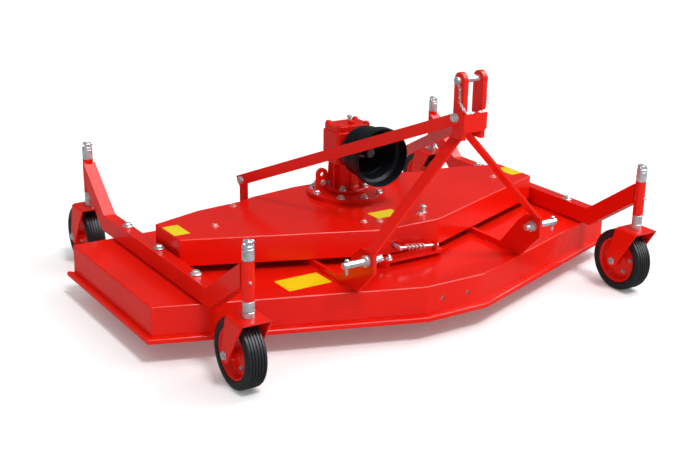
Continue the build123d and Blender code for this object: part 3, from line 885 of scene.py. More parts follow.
@dataclass
class SideBeams:
    """Side beams with the tubes that the castor spindles turn in.

    Args:
        bolt_places: Y of the three bolts in each beam.
        bolt_inset: How far the bolts stand inwards of the beam's middle.
        bolt_rise: Height of the bolts' feet over the deck.
        nipple_z: Height of the grease nipple on each tube.
        tube_x: Distance of the tubes from the middle.
        tube_radius: Outer radius of the tubes.
        foot_beads: Y at which each bead along a beam's feet starts.
        foot_bead: Length of such a bead.
    """

    bolt_places: tuple[float, ...] = (0.223, -0.036, -0.308)
    bolt_inset: float = 0.006
    bolt_rise: float = 0.066
    nipple_z: float = 0.356
    tube_x: float = 0.782
    tube_radius: float = 0.0185
    foot_beads: tuple[float, ...] = (-0.310, -0.150, 0.010, 0.170)
    foot_bead: float = 0.055

    def build(self) -> None:
        """Build both beams, their bolts, welds and grease nipples."""
        bolts = []
        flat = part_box("deck_top_plate")[1].z + self.bolt_rise
        for side, sign in SIDES:
            node = "side_beam_" + side
            dress_node(node, RED_PAINT, edge=0.0042)
            low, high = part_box(node)
            middle = (low.x + high.x) / 2
            x = middle - sign * self.bolt_inset
            bolts += [((x, y, flat), UP) for y in self.bolt_places]
        Fastener(0.0115, 0.009, 0.0185, 0.003).set_at("beam_bolts", bolts)
        dress_node("spindle_tubes", RED_PAINT, edge=0.0012)
        self.build_nipples()
        self.build_welds()

    def build_nipples(self) -> None:
        """Build one grease nipple on the outer face of each tube."""
        nipple = turned(
            "nipple",
            (
                (0.0042, 0.0), (0.0042, 0.003), (0.0028, 0.0035), (0.0028, 0.006),
                (0.0034, 0.0075), (0.0030, 0.0095), (0.0014, 0.0105),
            ),
            sides=12,
        )
        matrices = []
        for name in CASTORS:
            low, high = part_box("castor_spindle_" + name)
            centre = (low + high) / 2
            out = Vector((-0.25 if centre.x < 0 else 0.25, -1, 0)).normalized()
            foot = Vector((centre.x, centre.y, self.nipple_z)) + out * (self.tube_radius - 0.0006)
            matrices.append(turn_to(out, foot))
        finish(repeated("grease_nipples", nipple, matrices), ZINC)

    def build_welds(self) -> None:
        """Lay the beads between the beams and the tubes, and along the beams' feet."""
        weld = Weld(0.0030, 0.0027)
        runs: list[tuple[Point, Point]] = []
        deck_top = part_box("deck_top_plate")[1].z
        for side, sign in SIDES:
            low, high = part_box("side_beam_" + side)
            for name in ("front_" + side, "rear_" + side):
                spindle_low, spindle_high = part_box("castor_spindle_" + name)
                y = (spindle_low.y + spindle_high.y) / 2
                towards = 1 if y < 0 else -1
                for edge in (-1, 1):
                    x = sign * self.tube_x + edge * self.tube_radius
                    start = y + towards * 0.003
                    runs.append(((x, start, high.z - 0.064), (x, start, high.z - 0.004)))
            for edge in (low.x + 0.007, high.x - 0.007):
                for start in self.foot_beads:
                    end = start + self.foot_bead
                    runs.append(((edge, start, deck_top), (edge, end, deck_top)))
        weld.lay("beam_welds", runs)


@dataclass
class Castor:
    """One castor: fork, spindle with spacers, axle, rim and ribbed tyre.

    Args:
        name: Place of the castor, such as front_left.
        fork_top: Top of the fork's plate.
        tube_top: Top of the tube that the spindle turns in.
        spindle_radius: Radius of the spindle.
        spacer_radius: Radius of the spacers.
        spacer_chamfer: Chamfer of their edges.
        tyre_half: Half the width of the tyre.
        rim_radius: Radius of the rim under the tyre.
        hub_half: Half the length of the hub.
        groove_places: Distances of the tread's grooves from the middle.
        groove_half: Half the width of a groove.
        groove_depth: Depth of a groove.
        groove_ease: Width and depth of the chamfer along a groove.
        rim_bolts: Number of bolts in the rim.
        rim_bolt_circle: Radius of their circle.
        rim_bolt_start: Angle of the first one, in radians.
        rim_web_half: Half the thickness of the rim where they stand.
    """

    name: str
    fork_top: float = 0.242
    tube_top: float = 0.4173
    spindle_radius: float = 0.014
    spacer_radius: float = 0.018
    spacer_chamfer: float = 0.0012
    tyre_half: float = 0.034
    rim_radius: float = 0.082
    hub_half: float = 0.0447
    groove_places: tuple[float, ...] = (-0.0195, -0.0100, 0.0, 0.0100, 0.0195)
    groove_half: float = 0.0016
    groove_depth: float = 0.0034
    groove_ease: float = 0.0006
    rim_bolts: int = 5
    rim_bolt_circle: float = 0.047
    rim_bolt_start: float = 0.5
    rim_web_half: float = 0.0059

    def build(self) -> None:
        """Build the fork's dress, the spindle, the axle and the wheel."""
        low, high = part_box("wheel_tyre_" + self.name)
        self.centre = (low + high) / 2
        self.radius = (high.z - low.z) / 2
        spindle_low, spindle_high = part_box("castor_spindle_" + self.name)
        self.stem = (spindle_low + spindle_high) / 2
        self.stem_top = spindle_high.z
        self.castor_body = "castor_" + self.name
        self.wheel_body = "wheel_" + self.name
        dress_node("castor_fork_" + self.name, RED_PAINT, self.castor_body, edge=0.0024)
        self.build_spindle()
        self.build_linch_pin()
        self.build_axle()
        self.build_rim()
        self.build_tyre()

    def spacers(self, *levels: float) -> list[Station]:
        """Give the stations of chamfered spacers that stand on each other.

        Args:
            levels: Height of the lowest face, and of each spacer's top.

        Returns:
            Their stations from below upwards.
        """
        radius, chamfer = self.spacer_radius, self.spacer_chamfer
        stations: list[Station] = []
        for low, high in zip(levels, levels[1:]):
            stations += [
                (radius - chamfer, low), (radius, low + chamfer),
                (radius, high - chamfer), (radius - chamfer, high),
            ]
        return stations

    def build_spindle(self) -> None:
        """Build the spindle with the spacers above and below its tube."""
        radius, base, top = self.spindle_radius, self.fork_top, self.tube_top + 0.0003
        stations = self.spacers(base, base + 0.019, base + 0.052)
        stations += [(radius, base + 0.0522), (radius, top)]
        stations += self.spacers(top, top + 0.036, top + 0.046)
        stations += [
            (radius, top + 0.0462), (radius, self.stem_top - 0.002), (0.012, self.stem_top),
        ]
        spindle = turned("spindle_" + self.name, stations, sides=40)
        place(spindle, Matrix.Translation((self.stem.x, self.stem.y, 0)))
        finish(
            spindle, TURNED_ZINC, self.castor_body, ("castor_spindle_" + self.name,), angle=25.0
        )

    def build_linch_pin(self) -> None:
        """Build the linch pin through the spindle's end, with its spring ring."""
        height = self.stem_top - 0.008
        pin = turned(
            "pin",
            (
                (0.0030, -0.021), (0.0040, -0.019), (0.0040, 0.016), (0.0068, 0.0165),
                (0.0072, 0.0185), (0.0060, 0.021),
            ),
            sides=20,
        )
        place(pin, turn_to((1, 0.35, 0), (self.stem.x, self.stem.y, height)))
        ring = WireRing(0.0168, 0.0017).model()
        tilt = Matrix.Rotation(math.radians(62), 4, (-0.35, 1, 0))
        place(ring, Matrix.Translation((self.stem.x, self.stem.y, height - 0.002)) @ tilt)
        finish(joined("linch_pin_" + self.name, [pin, ring]), ZINC, self.castor_body)

    def build_axle(self) -> None:
        """Build the axle bolt with its head, nut and washers."""
        node = "wheel_axle_" + self.name
        low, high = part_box(node)
        shank = turned("shank", ((0.008, low.x + 0.009), (0.008, high.x - 0.009)), sides=24)
        place(shank, turn_to((1, 0, 0), (0, self.centre.y, self.centre.z)))
        out = 1 if self.centre.x > 0 else -1
        head_x, nut_x = (high.x, low.x) if out > 0 else (low.x, high.x)
        head = Fastener(0.0128, 0.0068, 0.0135, 0.0022).model()
        place(head, turn_to((out, 0, 0), (head_x - out * 0.009, self.centre.y, self.centre.z)))
        nut = Fastener(0.0122, 0.0056, 0.0135, 0.0018, stud=0.0012).model()
        place(nut, turn_to((-out, 0, 0), (nut_x + out * 0.009, self.centre.y, self.centre.z)))
        finish(
            joined("axle_bolt_" + self.name, [shank, head, nut]), ZINC, self.castor_body, (node,),
            angle=30.0,
        )

    def build_rim(self) -> None:
        """Build the pressed rim with its hub tube and bolts."""
        rim, hub, half = self.rim_radius, 0.022, self.tyre_half
        face = half - 0.004
        section = (
            (0.0083, -self.hub_half), (0.0165, -self.hub_half), (0.0165, -0.017), (hub, -0.013),
            (0.034, -0.0075), (0.058, -0.0052), (0.066, -0.008), (0.0722, -0.018),
            (0.0745, -face + 0.004), (0.0790, -face + 0.0005), (rim - 0.0005, -face),
            (rim, -face + 0.0015), (rim, face - 0.0015), (rim - 0.0005, face),
            (0.0790, face - 0.0005), (0.0745, face - 0.004), (0.0722, 0.018), (0.066, 0.008),
            (0.058, 0.0052), (0.034, 0.0075), (hub, 0.013), (0.0165, 0.017),
            (0.0165, self.hub_half), (0.0083, self.hub_half), (0.0083, -self.hub_half),
        )
        wheel = turned("rim_" + self.name, section, sides=72)
        place(wheel, turn_to((1, 0, 0), self.centre))
        finish(
            wheel, RED_PAINT, self.wheel_body, ("wheel_rim_" + self.name,), edge=0.0004, angle=38.0
        )
        places = []
        for y, z in on_circle(self.rim_bolt_circle, self.rim_bolts, self.rim_bolt_start):
            for out in (-1, 1):
                spot = self.centre + Vector((out * self.rim_web_half, y, z))
                places.append((tuple(spot), (out, 0, 0)))
        Fastener(0.0062, 0.0045, 0.0080, 0.0012).set_at(
            "rim_bolts_" + self.name, places, self.wheel_body
        )

    def build_tyre(self) -> None:
        """Build the tyre with its rounded shoulders and grooved tread."""
        half, outer, bead = self.tyre_half, self.radius, self.rim_radius + 0.0003
        shoulder = (
            (bead, 0.0295), (0.0860, 0.0325), (0.0900, 0.0338), (0.0960, half), (0.1020, 0.0338),
            (0.1062, 0.0325), (0.1095, 0.0302), (outer - 0.0004, 0.0262),
        )
        stations: list[Station] = [(radius, -x) for radius, x in shoulder]
        groove, ease = self.groove_half, self.groove_ease
        for middle in self.groove_places:
            stations += [
                (outer, middle - groove - ease),
                (outer - ease, middle - groove),
                (outer - self.groove_depth, middle - 0.6 * groove),
                (outer - self.groove_depth, middle + 0.6 * groove),
                (outer - ease, middle + groove),
                (outer, middle + groove + ease),
            ]
        stations += [(radius, x) for radius, x in reversed(shoulder)]
        stations.append(stations[0])
        tyre = turned("tyre_" + self.name, stations, sides=120)
        place(tyre, turn_to((1, 0, 0), self.centre))
        finish(tyre, RUBBER, self.wheel_body, ("wheel_tyre_" + self.name,), angle=34.0)


@dataclass
class Hitch:
    """Lower hitch: brackets and their pins, with collars, nuts and linch pins.

    Args:
        pin_y: Y of the pins.
        pin_z: Z of the pins.
        pin_radius: Radius of a pin.
        plate_outer: X of a bracket's outer face.
        plate: Thickness of a bracket.
        tip: X of a pin's tip.
        linch_x: X of the linch pins.
        foot_beads: Y at which each bead along a bracket's feet starts.
        foot_bead: Length of such a bead.
    """

    pin_y: float = -0.6155
    pin_z: float = 0.316
    pin_radius: float = 0.011
    plate_outer: float = 0.342
    plate: float = 0.012
    tip: float = 0.433
    linch_x: float = 0.418
    foot_beads: tuple[float, ...] = (-0.552, -0.440, -0.320)
    foot_bead: float = 0.070

    def build(self) -> None:
        """Build the brackets, the pins and their welds."""
        dress_node("hitch_brackets", RED_PAINT, edge=0.0018)
        self.build_pins()
        self.build_welds()

    def build_pins(self) -> None:
        """Build both pins with their collars, nuts, inner ends and linch pins."""
        pieces = []
        radius, outer = self.pin_radius, self.plate_outer
        for _, sign in SIDES:
            inner = outer - self.plate
            pin = turned(
                "pin",
                (
                    (0.0100, inner - 0.0180), (radius, inner - 0.0165), (radius, outer - 0.001),
                    (0.0178, outer), (0.0190, outer + 0.0012), (0.0190, outer + 0.0108),
                    (0.0178, outer + 0.0120), (radius, outer + 0.0120),
                    (radius, self.tip - 0.0035), (0.0080, self.tip),
                ),
                sides=36,
            )
            place(pin, turn_to((sign, 0, 0), (0, self.pin_y, self.pin_z)))
            nut = Fastener(0.0190, 0.0135, 0.0190, 0.0028).model()
            place(nut, turn_to((-sign, 0, 0), (sign * inner, self.pin_y, self.pin_z), spin=0.3))
            linch = turned(
                "linch",
                (
                    (0.0030, -0.032), (0.0048, -0.0290), (0.0050, 0.0110), (0.0070, 0.0118),
                    (0.0076, 0.0150), (0.0062, 0.0185), (0.0040, 0.0198),
                ),
                sides=20,
            )
            spot = (sign * self.linch_x, self.pin_y, self.pin_z)
            place(linch, turn_to(UP, spot))
            end = turned(
                "end",
                (
                    (0.0100, inner - 0.0330), (radius, inner - 0.0315), (radius, inner - 0.0160),
                    (0.0100, inner - 0.0150),
                ),
                sides=36,
            )
            place(end, turn_to((sign, 0, 0), (0, self.pin_y, self.pin_z)))
            pieces += [pin, nut, linch, end]
        finish(joined("hitch_pins_turned", pieces), ZINC, MAIN, ("hitch_pins",), angle=30.0)

    def build_welds(self) -> None:
        """Lay the beads along the brackets' feet."""
        deck_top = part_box("deck_top_plate")[1].z
        runs: list[tuple[Point, Point]] = []
        for _, sign in SIDES:
            for x in (self.plate_outer + 0.001, self.plate_outer - self.plate - 0.001):
                for start in self.foot_beads:
                    end = start + self.foot_bead
                    runs.append(((sign * x, start, deck_top), (sign * x, end, deck_top)))
        Weld(0.0030, 0.0028).lay("hitch_welds", runs)


@dataclass
class Mast:
    """Mast with its braces, top-link pin, chains, bracket, stays, posts and bolts.

    Args:
        pin_y: Y of the top-link pin.
        pin_z: Z of the top-link pin.
        outer_x: X of a mast plate's outer face.
        slot: How far the slot in the right plate reaches below and above the pin's axis.
        chain_ring: Radius of a chain link.
        chain_wire: Radius of the chain's wire.
        chain_pitch: Distance between chain links.
        stay_run: How far a stay runs outwards and back.
        stay_bolts: Place of the bolts at a stay's ends, on its middle.
        stay_half: Half the thickness of a stay.
    """

    pin_y: float = -0.652
    pin_z: float = 0.857
    outer_x: float = 0.0445
    slot: Station = (0.003, 0.008)
    chain_ring: float = 0.0030
    chain_wire: float = 0.0012
    chain_pitch: float = 0.0066
    stay_run: Station = (0.3005, 0.8645)
    stay_bolts: tuple[Point, Point] = ((0.051, -0.649, 0.742), (0.3435, 0.1935, 0.3675))
    stay_half: float = 0.0052

    def build(self) -> None:
        """Build all of the mast."""
        for side, _ in SIDES:
            dress_node("mast_brace_" + side, RED_PAINT, edge=0.0022)
        self.build_plates()
        dress_node("mast_bracket", RED_PAINT, edge=0.0022)
        dress_node("stay_bars", RED_PAINT, edge=0.0020)
        dress_node("stay_posts", RED_PAINT, edge=0.0020)
        self.build_pin()
        self.build_chains()
        self.build_bolts()

    def build_plates(self) -> None:
        """Build the mast plates with their slot."""
        plates = copied_node("mast_plates_slotted", "mast_plates")
        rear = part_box("mast_plates")[1].y
        below, above = self.slot
        cutter = block(
            "cutter",
            (0.02, self.pin_y, self.pin_z - below),
            (0.06, rear + 0.01, self.pin_z + above),
        )
        combine(plates, cutter, "DIFFERENCE")
        finish(plates, RED_PAINT, MAIN, ("mast_plates",), edge=0.0022)

    def build_pin(self) -> None:
        """Build the top-link pin with its head and its linch pin."""
        low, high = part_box("mast_pin")
        pin = turned(
            "pin",
            (
                (0.0105, low.x), (0.0120, low.x + 0.0015), (0.0120, low.x + 0.0085),
                (0.0095, low.x + 0.0100), (0.0095, high.x - 0.003), (0.0070, high.x),
            ),
            sides=32,
        )
        place(pin, turn_to((1, 0, 0), (0, self.pin_y, self.pin_z)))
        linch = turned(
            "linch", ((0.0022, -0.017), (0.0030, -0.0155), (0.0030, 0.0165), (0.0022, 0.018)),
            sides=14,
        )
        place(linch, turn_to((0, 0.3, 1), (high.x - 0.0065, self.pin_y, self.pin_z)))
        ring = WireRing(0.0140, 0.0015).model()
        lean = Matrix.Rotation(math.radians(84), 4, "Y")
        place(ring, Matrix.Translation((high.x - 0.005, self.pin_y, self.pin_z)) @ lean)
        finish(joined("mast_pin_turned", [pin, linch, ring]), ZINC, MAIN, ("mast_pin",), angle=30.0)

    def build_chains(self) -> None:
        """Build the two retaining chains that hang beside the mast."""
        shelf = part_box("mast_bracket")[1].z + self.chain_wire
        bolt = self.outer_x + 0.009
        side = self.outer_x + 0.0042
        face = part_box("mast_bracket")[1].y - 0.004
        routes = (
            (
                (-bolt, self.pin_y - 0.004, self.pin_z - 0.009),
                (-side, self.pin_y - 0.008, 0.836), (-side, self.pin_y - 0.012, 0.790),
                (-side + 0.002, face, 0.772), (-0.036, face, shelf + 0.003),
                (-0.028, face, shelf), (0.0, face, shelf),
            ),
            (
                (bolt + 0.001, self.pin_y, self.pin_z - 0.014),
                (bolt + 0.006, self.pin_y - 0.002, 0.806),
                (bolt, face + 0.006, 0.780), (0.043, face, shelf + 0.006),
                (0.032, face, shelf), (0.004, face, shelf),
            ),
        )
        pieces = []
        for number, route in enumerate(routes):
            link = WireRing(self.chain_ring, self.chain_wire).model(stretch=1.55)
            pieces.append(repeated(f"chain_{number}", link, self.links_along(route)))
        finish(joined("mast_chains", pieces), ZINC, angle=60.0)

    def links_along(self, route: Sequence[Point]) -> list[Matrix]:
        """Place chain links along a route, each turned a quarter from the last.

        Args:
            route: Corners of the route.

        Returns:
            One matrix for each link.
        """
        corners = [Vector(corner) for corner in route]
        lengths = [(b - a).length for a, b in zip(corners, corners[1:])]
        matrices = []
        for number in range(int(sum(lengths) / self.chain_pitch)):
            rest, piece = (number + 0.5) * self.chain_pitch, 0
            while piece < len(lengths) - 1 and rest > lengths[piece]:
                rest -= lengths[piece]
                piece += 1
            start, end = corners[piece], corners[piece + 1]
            spot = start.lerp(end, rest / lengths[piece])
            lean = (end - start).to_track_quat("X", "Z").to_matrix().to_4x4()
            quarter = Matrix.Rotation(math.radians(90 * (number % 2) + 45), 4, "X")
            matrices.append(Matrix.Translation(spot) @ lean @ quarter)
        return matrices

    def build_bolts(self) -> None:
        """Build the bolts at both ends of the stays."""
        along = Vector((*self.stay_run, 0)).normalized()
        places = []
        for _, sign in SIDES:
            out = Vector((sign * along.y, -along.x, 0))
            for x, y, z in self.stay_bolts:
                spot = Vector((sign * x, y, z)) + out * self.stay_half
                places.append((tuple(spot), tuple(out)))
        Fastener(0.0115, 0.009, 0.0145, 0.0028).set_at("stay_bolts", places)


@dataclass
class Gearbox:
    """Gearbox with its cap, bolts, breather, guard and input shaft.

    Args:
        axis_y: Y of the upright axis.
        axis_z: Z of the input shaft.
        body_depth: Depth of the body.
        foot: Top of the base.
        floor: Underside of the body.
        neck: Radius of the neck.
        neck_circle: Radius of the circle of nuts round the neck.
        base_circle: Radius of the base's bolt circle.
        base_bolt_angles: Angle of each bolt in the base, in degrees.
        cap_bolts: X and Y of the cap's bolts from the middle.
        bearing_circle: Radius of the bolt circle on the rear bearing cap.
        screw_circle: Radius of the circle of the guard's screws.
        lug_bolt: Foot of the bolt in the lifting lug.
    """

    axis_y: float = 0.032
    axis_z: float = 0.495
    body_depth: float = 0.106
    foot: float = 0.324
    floor: float = 0.435
    neck: float = 0.050
    neck_circle: float = 0.067
    base_circle: float = 0.124
    base_bolt_angles: tuple[float, ...] = (-132, -92, -50, -8, 32, 78, 118, 146, 178)
    cap_bolts: Station = (0.057, 0.037)
    bearing_circle: float = 0.0355
    screw_circle: float = 0.046
    lug_bolt: Point = (-0.083, 0.059, 0.352)

    def build(self) -> None:
        """Build the casting, its bolts, the guard and the shaft."""
        self.build_casting()
        self.build_bolts()
        self.build_breather()
        self.build_guard()
        self.build_shaft()

    def build_casting(self) -> None:
        """Build the casting with its flange, fins, rear bearing cap and front pad."""
        casting = copied_node("gearbox_casting", "gearbox")
        finish(casting, CAST_PAINT, MAIN, ("gearbox",), edge=0.0030, segments=3)
        details = []
        flange = turned(
            "flange",
            (
                (0.074, self.foot), (0.076, self.foot + 0.002), (0.076, self.foot + 0.012),
                (0.073, self.foot + 0.015), (self.neck + 0.004, self.foot + 0.018),
                (self.neck - 0.002, self.foot + 0.030),
            ),
            sides=48,
        )
        details.append(place(flange, Matrix.Translation((0, self.axis_y, 0))))
        for number in range(6):
            angle = math.radians(60 * number + 15)
            low = (self.neck - 0.006, -0.004, self.foot + 0.012)
            fin = block("fin", low, (0.067, 0.004, self.floor + 0.004))
            with editing(fin, Element.VERTEX):
                choose(fin, Element.VERTEX, lambda v: v.co.x > 0.06 and v.co.z < self.foot + 0.02)
                bpy.ops.transform.translate(value=(0.004, 0, 0))
            turn = Matrix.Translation((0, self.axis_y, 0)) @ Matrix.Rotation(angle, 4, "Z")
            details.append(place(fin, turn))
        back = self.axis_y + self.body_depth / 2
        cap = turned(
            "cap",
            (
                (0.043, 0.0), (0.043, 0.005), (0.041, 0.007), (0.030, 0.0075), (0.027, 0.0055),
                (0.010, 0.0050),
            ),
            sides=40,
        )
        details.append(place(cap, turn_to((0, 1, 0), (0, back - 0.001, self.axis_z))))
        pad = turned(
            "pad", ((0.049, 0.0), (0.049, 0.0025), (0.047, 0.0045), (0.038, 0.0050)), sides=48
        )
        front = self.axis_y - self.body_depth / 2
        details.append(place(pad, turn_to((0, -1, 0), (0, front + 0.0005, self.axis_z))))
        finish(joined("gearbox_details", details), CAST_PAINT, MAIN, edge=0.0014)

    def build_bolts(self) -> None:
        """Build the bolts of the base, neck, cap, rear bearing cap and lug."""
        base = []
        for angle in self.base_bolt_angles:
            x, y = on_circle(self.base_circle, 1, math.radians(angle))[0]
            base.append(((x, self.axis_y + y, self.foot), UP))
        Fastener(0.0110, 0.0085, 0.0150, 0.0025).set_at("base_bolts", base)
        neck = [
            ((x, self.axis_y + y, self.foot + 0.0130), UP)
            for x, y in on_circle(self.neck_circle, 4, math.radians(-134))
        ]
        Fastener(0.0125, 0.010, 0.0155, 0.0022, stud=0.006).set_at("neck_nuts", neck)
        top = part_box("gearbox")[1].z
        far_x, far_y = self.cap_bolts
        cap = [
            ((x, self.axis_y + y, top), UP) for x in (-far_x, far_x) for y in (-far_y, far_y)
        ]
        Fastener(0.0095, 0.0065, 0.012, 0.0018).set_at("cap_bolts", cap, look=CAST_PAINT)
        back = self.axis_y + self.body_depth / 2 + 0.0058
        side = [
            ((x, back, self.axis_z + z), (0.0, 1.0, 0.0))
            for x, z in on_circle(self.bearing_circle, 4, math.radians(45))
        ]
        Fastener(0.0058, 0.0045).set_at("bearing_cap_bolts", side, look=CAST_PAINT)
        Fastener(0.0085, 0.0065, 0.012, 0.0018).set_at(
            "lug_bolt", [(self.lug_bolt, (0.0, -1.0, 0.0))]
        )

    def build_breather(self) -> None:
        """Build the breather and the filler plug on the cap."""
        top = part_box("gearbox")[1].z
        breather = turned(
            "gearbox_breather",
            (
                (0.0085, 0.0), (0.0085, 0.004), (0.005, 0.005), (0.005, 0.009), (0.0085, 0.010),
                (0.0088, 0.017), (0.0070, 0.0195),
            ),
            sides=24,
        )
        place(breather, Matrix.Translation((0.028, self.axis_y + 0.030, top)))
        finish(breather, BREATHER_PLASTIC, edge=0.0005)
        plug = turned(
            "gearbox_plug", ((0.0135, 0.0), (0.0135, 0.009), (0.0115, 0.011), (0.006, 0.011)), sides=6
        )
        place(plug, Matrix.Translation((0.010, self.axis_y - 0.012, top)))
        finish(plug, CAST_PAINT, edge=0.0006)

    def build_guard(self) -> None:
        """Build the bell-shaped guard with its rolled lip and inner bead."""
        low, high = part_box("shaft_guard")
        mouth, root = low.y, high.y
        section = (
            (0.034, 0.0), (0.058, 0.0), (0.0615, -0.003), (0.0720, -0.018), (0.0830, -0.036),
            (0.0890, -0.052), (0.0915, -0.068), (0.0915, -0.112), (0.0890, -0.1210),
            (0.0900, -0.1265), (0.0985, -0.1290), (0.1025, -0.1330), (0.1040, -0.1400),
            (0.1040, -0.1640), (0.1040, -0.1680), (0.1030, -0.1745), (0.1005, -0.1745),
            (0.0980, -0.1700), (0.0975, -0.1380), (0.0955, -0.1340), (0.0875, -0.1310),
            (0.0850, -0.1270), (0.0770, -0.0920), (0.0740, -0.0890), (0.0760, -0.0860),
            (0.0745, -0.0820), (0.0640, -0.0340), (0.0585, -0.0160), (0.0540, -0.004),
            (0.034, -0.004), (0.034, 0.0),
        )
        stretch = (mouth - root) / section[15][1]
        guard = turned("guard_bell", [(r, y * stretch) for r, y in section], sides=96)
        place(guard, turn_to((0, 1, 0), (0, root, self.axis_z)))
        finish(guard, GUARD_PLASTIC, MAIN, ("shaft_guard",), angle=45.0)
        screws = [
            ((x, root - 0.004, self.axis_z + z), (0.0, -1.0, 0.0))
            for x, z in on_circle(self.screw_circle, 4, math.radians(45))
        ]
        Fastener(0.0075, 0.005, 0.010, 0.0015).set_at("guard_screws", screws)

    def build_shaft(self) -> None:
        """Build the splined input shaft with its locking groove."""
        low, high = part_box("input_shaft")
        radius, root, length = 0.0174, 0.0148, high.y - low.y
        spline_end = 0.084
        stations: list[Station] = [
            (radius - 0.0025, 0.0), (radius, 0.0025), (radius, 0.024), (root, 0.026), (root, 0.032),
            (radius, 0.034), (radius, spline_end - 0.004), (root, spline_end - 0.002),
            (root, spline_end), (0.022, spline_end), (0.022, length),
        ]
        shaft = turned("input_shaft_splined", stations, sides=72)
        with editing(shaft, Element.VERTEX):

            def in_flute(vertex: bmesh.types.BMVert) -> bool:
                turn = math.degrees(math.atan2(vertex.co.y, vertex.co.x)) % 60
                outer = math.hypot(vertex.co.x, vertex.co.y) > radius - 0.0003
                return outer and vertex.co.z < spline_end - 0.003 and 17 < turn < 43

            choose(shaft, Element.VERTEX, in_flute)
            share = root / radius
            bpy.ops.transform.resize(value=(share, share, 1), center_override=(0, 0, 0))
        place(shaft, turn_to((0, 1, 0), (0, low.y, self.axis_z)))
        finish(shaft, SHAFT_STEEL, "input_shaft", ("input_shaft",), angle=28.0)


@dataclass
class Tensioner:
    """Belt tensioner at the cover's nose: lever, anchor, rod, spring and nuts.

    Args:
        stub: X and Z of the stub in the cover's nose.
        stub_radius: Radius of the stub.
        rod_radius: Radius of the rod.
        anchor: Where the rod passes the anchor.
        coil_radius: Radius of the spring's middle.
        wire: Radius of the spring's wire.
        turns: Number of turns.
        spring_start: Distance of the spring from the rod's start.
        spring_length: Length of the spring.
        rod_end: How far the rod reaches past the anchor.
        nuts: X and Y of the nuts on the lever.
    """

    stub: Station = (-0.070, 0.245)
    stub_radius: float = 0.007
    rod_radius: float = 0.0045
    anchor: Point = (0.074, -0.413, 0.231)
    coil_radius: float = 0.0086
    wire: float = 0.0029
    turns: int = 5
    spring_start: float = 0.024
    spring_length: float = 0.078
    rod_end: float = 0.014
    nuts: tuple[Station, Station] = ((-0.140, -0.398), (-0.116, -0.412))

    def build(self) -> None:
        """Build the whole tensioner."""
        dress_node("tension_lever", RED_PAINT, edge=0.0024)
        dress_node("tension_anchor", RED_PAINT, edge=0.0012)
        low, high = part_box("tension_rod")
        start = Vector((self.stub[0], low.y + self.stub_radius, self.stub[1]))
        along = (Vector(self.anchor) - start).normalized()
        reach = (Vector(self.anchor) - start).length + self.rod_end
        stub = turned(
            "stub",
            ((0.0055, 0.0), (self.stub_radius, 0.0015), (self.stub_radius, high.y - low.y)),
            sides=24,
        )
        place(stub, turn_to((0, 1, 0), (self.stub[0], low.y, self.stub[1])))
        rod = turned(
            "rod",
            (
                (self.rod_radius, 0.0), (self.rod_radius, reach - 0.0012),
                (self.rod_radius - 0.001, reach),
            ),
            sides=20,
        )
        place(rod, turn_to(along, start))
        nut = Fastener(0.0085, 0.006).model()
        place(nut, turn_to(along, start + along * (reach - 0.0095)))
        finish(joined("tension_rod_turned", [stub, rod, nut]), ZINC, MAIN, ("tension_rod",))
        self.build_spring(start, along)
        lever_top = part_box("tension_lever")[1].z
        Fastener(0.0095, 0.0075, 0.0125, 0.002, stud=0.006).set_at(
            "lever_nuts", [((x, y, lever_top), UP) for x, y in self.nuts]
        )

    def build_spring(self, start: Vector, along: Vector) -> None:
        """Wind the spring round the rod.

        Args:
            start: Start of the rod.
            along: Direction of the rod.
        """
        bpy.ops.object.select_all(action="DESELECT")
        bpy.ops.mesh.primitive_circle_add(
            vertices=10, radius=self.wire, location=(self.coil_radius, 0, 0),
            rotation=(math.radians(90), 0, 0),
        )
        spring = bpy.context.object
        spring.name = "tension_spring_coil"
        bpy.ops.object.transform_apply(location=True, rotation=True, scale=True)
        pitch = self.spring_length / self.turns
        apply_modifier(
            spring, "SCREW", axis="Z", angle=2 * math.pi, screw_offset=pitch,
            iterations=self.turns, steps=24, render_steps=24, use_smooth_shade=True,
        )
        with editing(spring, Element.VERTEX):
            bpy.ops.mesh.remove_doubles(threshold=1e-6)
            bpy.ops.mesh.fill_holes(sides=0)
            bpy.ops.mesh.select_all(action="SELECT")
            bpy.ops.mesh.normals_make_consistent(inside=False)
        place(spring, turn_to(along, start + along * self.spring_start))
        finish(spring, SPRING_PAINT, MAIN, ("tension_spring",), angle=50.0)


@dataclass
class CuttingGear:
    """Blades, their housings, the pulleys and the drive pulley.

    Args:
        housing_circle: Radius of the bolt circle under each housing.
        housing_bolts: Number of bolts in each housing.
        housing_height: Height of a housing's flange below the deck's top plate.
    """

    housing_circle: float = 0.050
    housing_bolts: int = 6
    housing_height: float = 0.026

    def build(self) -> None:
        """Build everything that turns or is bolted below the deck and the cover."""
        dress_node("blade_housings", CAST_PAINT, edge=0.0016)
        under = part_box("deck_top_plate")[0].z - self.housing_height
        bolts = []
        for name in BLADES:
            dress_node("blade_" + name, DARK_STEEL, "blade_" + name, edge=0.0012)
            dress_node("pulley_" + name, DARK_STEEL, "blade_" + name, edge=0.0010)
            low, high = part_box("pulley_" + name)
            middle = (low + high) / 2
            for x, y in on_circle(self.housing_circle, self.housing_bolts):
                bolts.append(((middle.x + x, middle.y + y, under), (0.0, 0.0, -1.0)))
        Fastener(0.0085, 0.006, 0.0108, 0.0018).set_at("housing_bolts", bolts)
        dress_node("drive_pulley", DARK_STEEL, "drive_pulley", edge=0.0010)


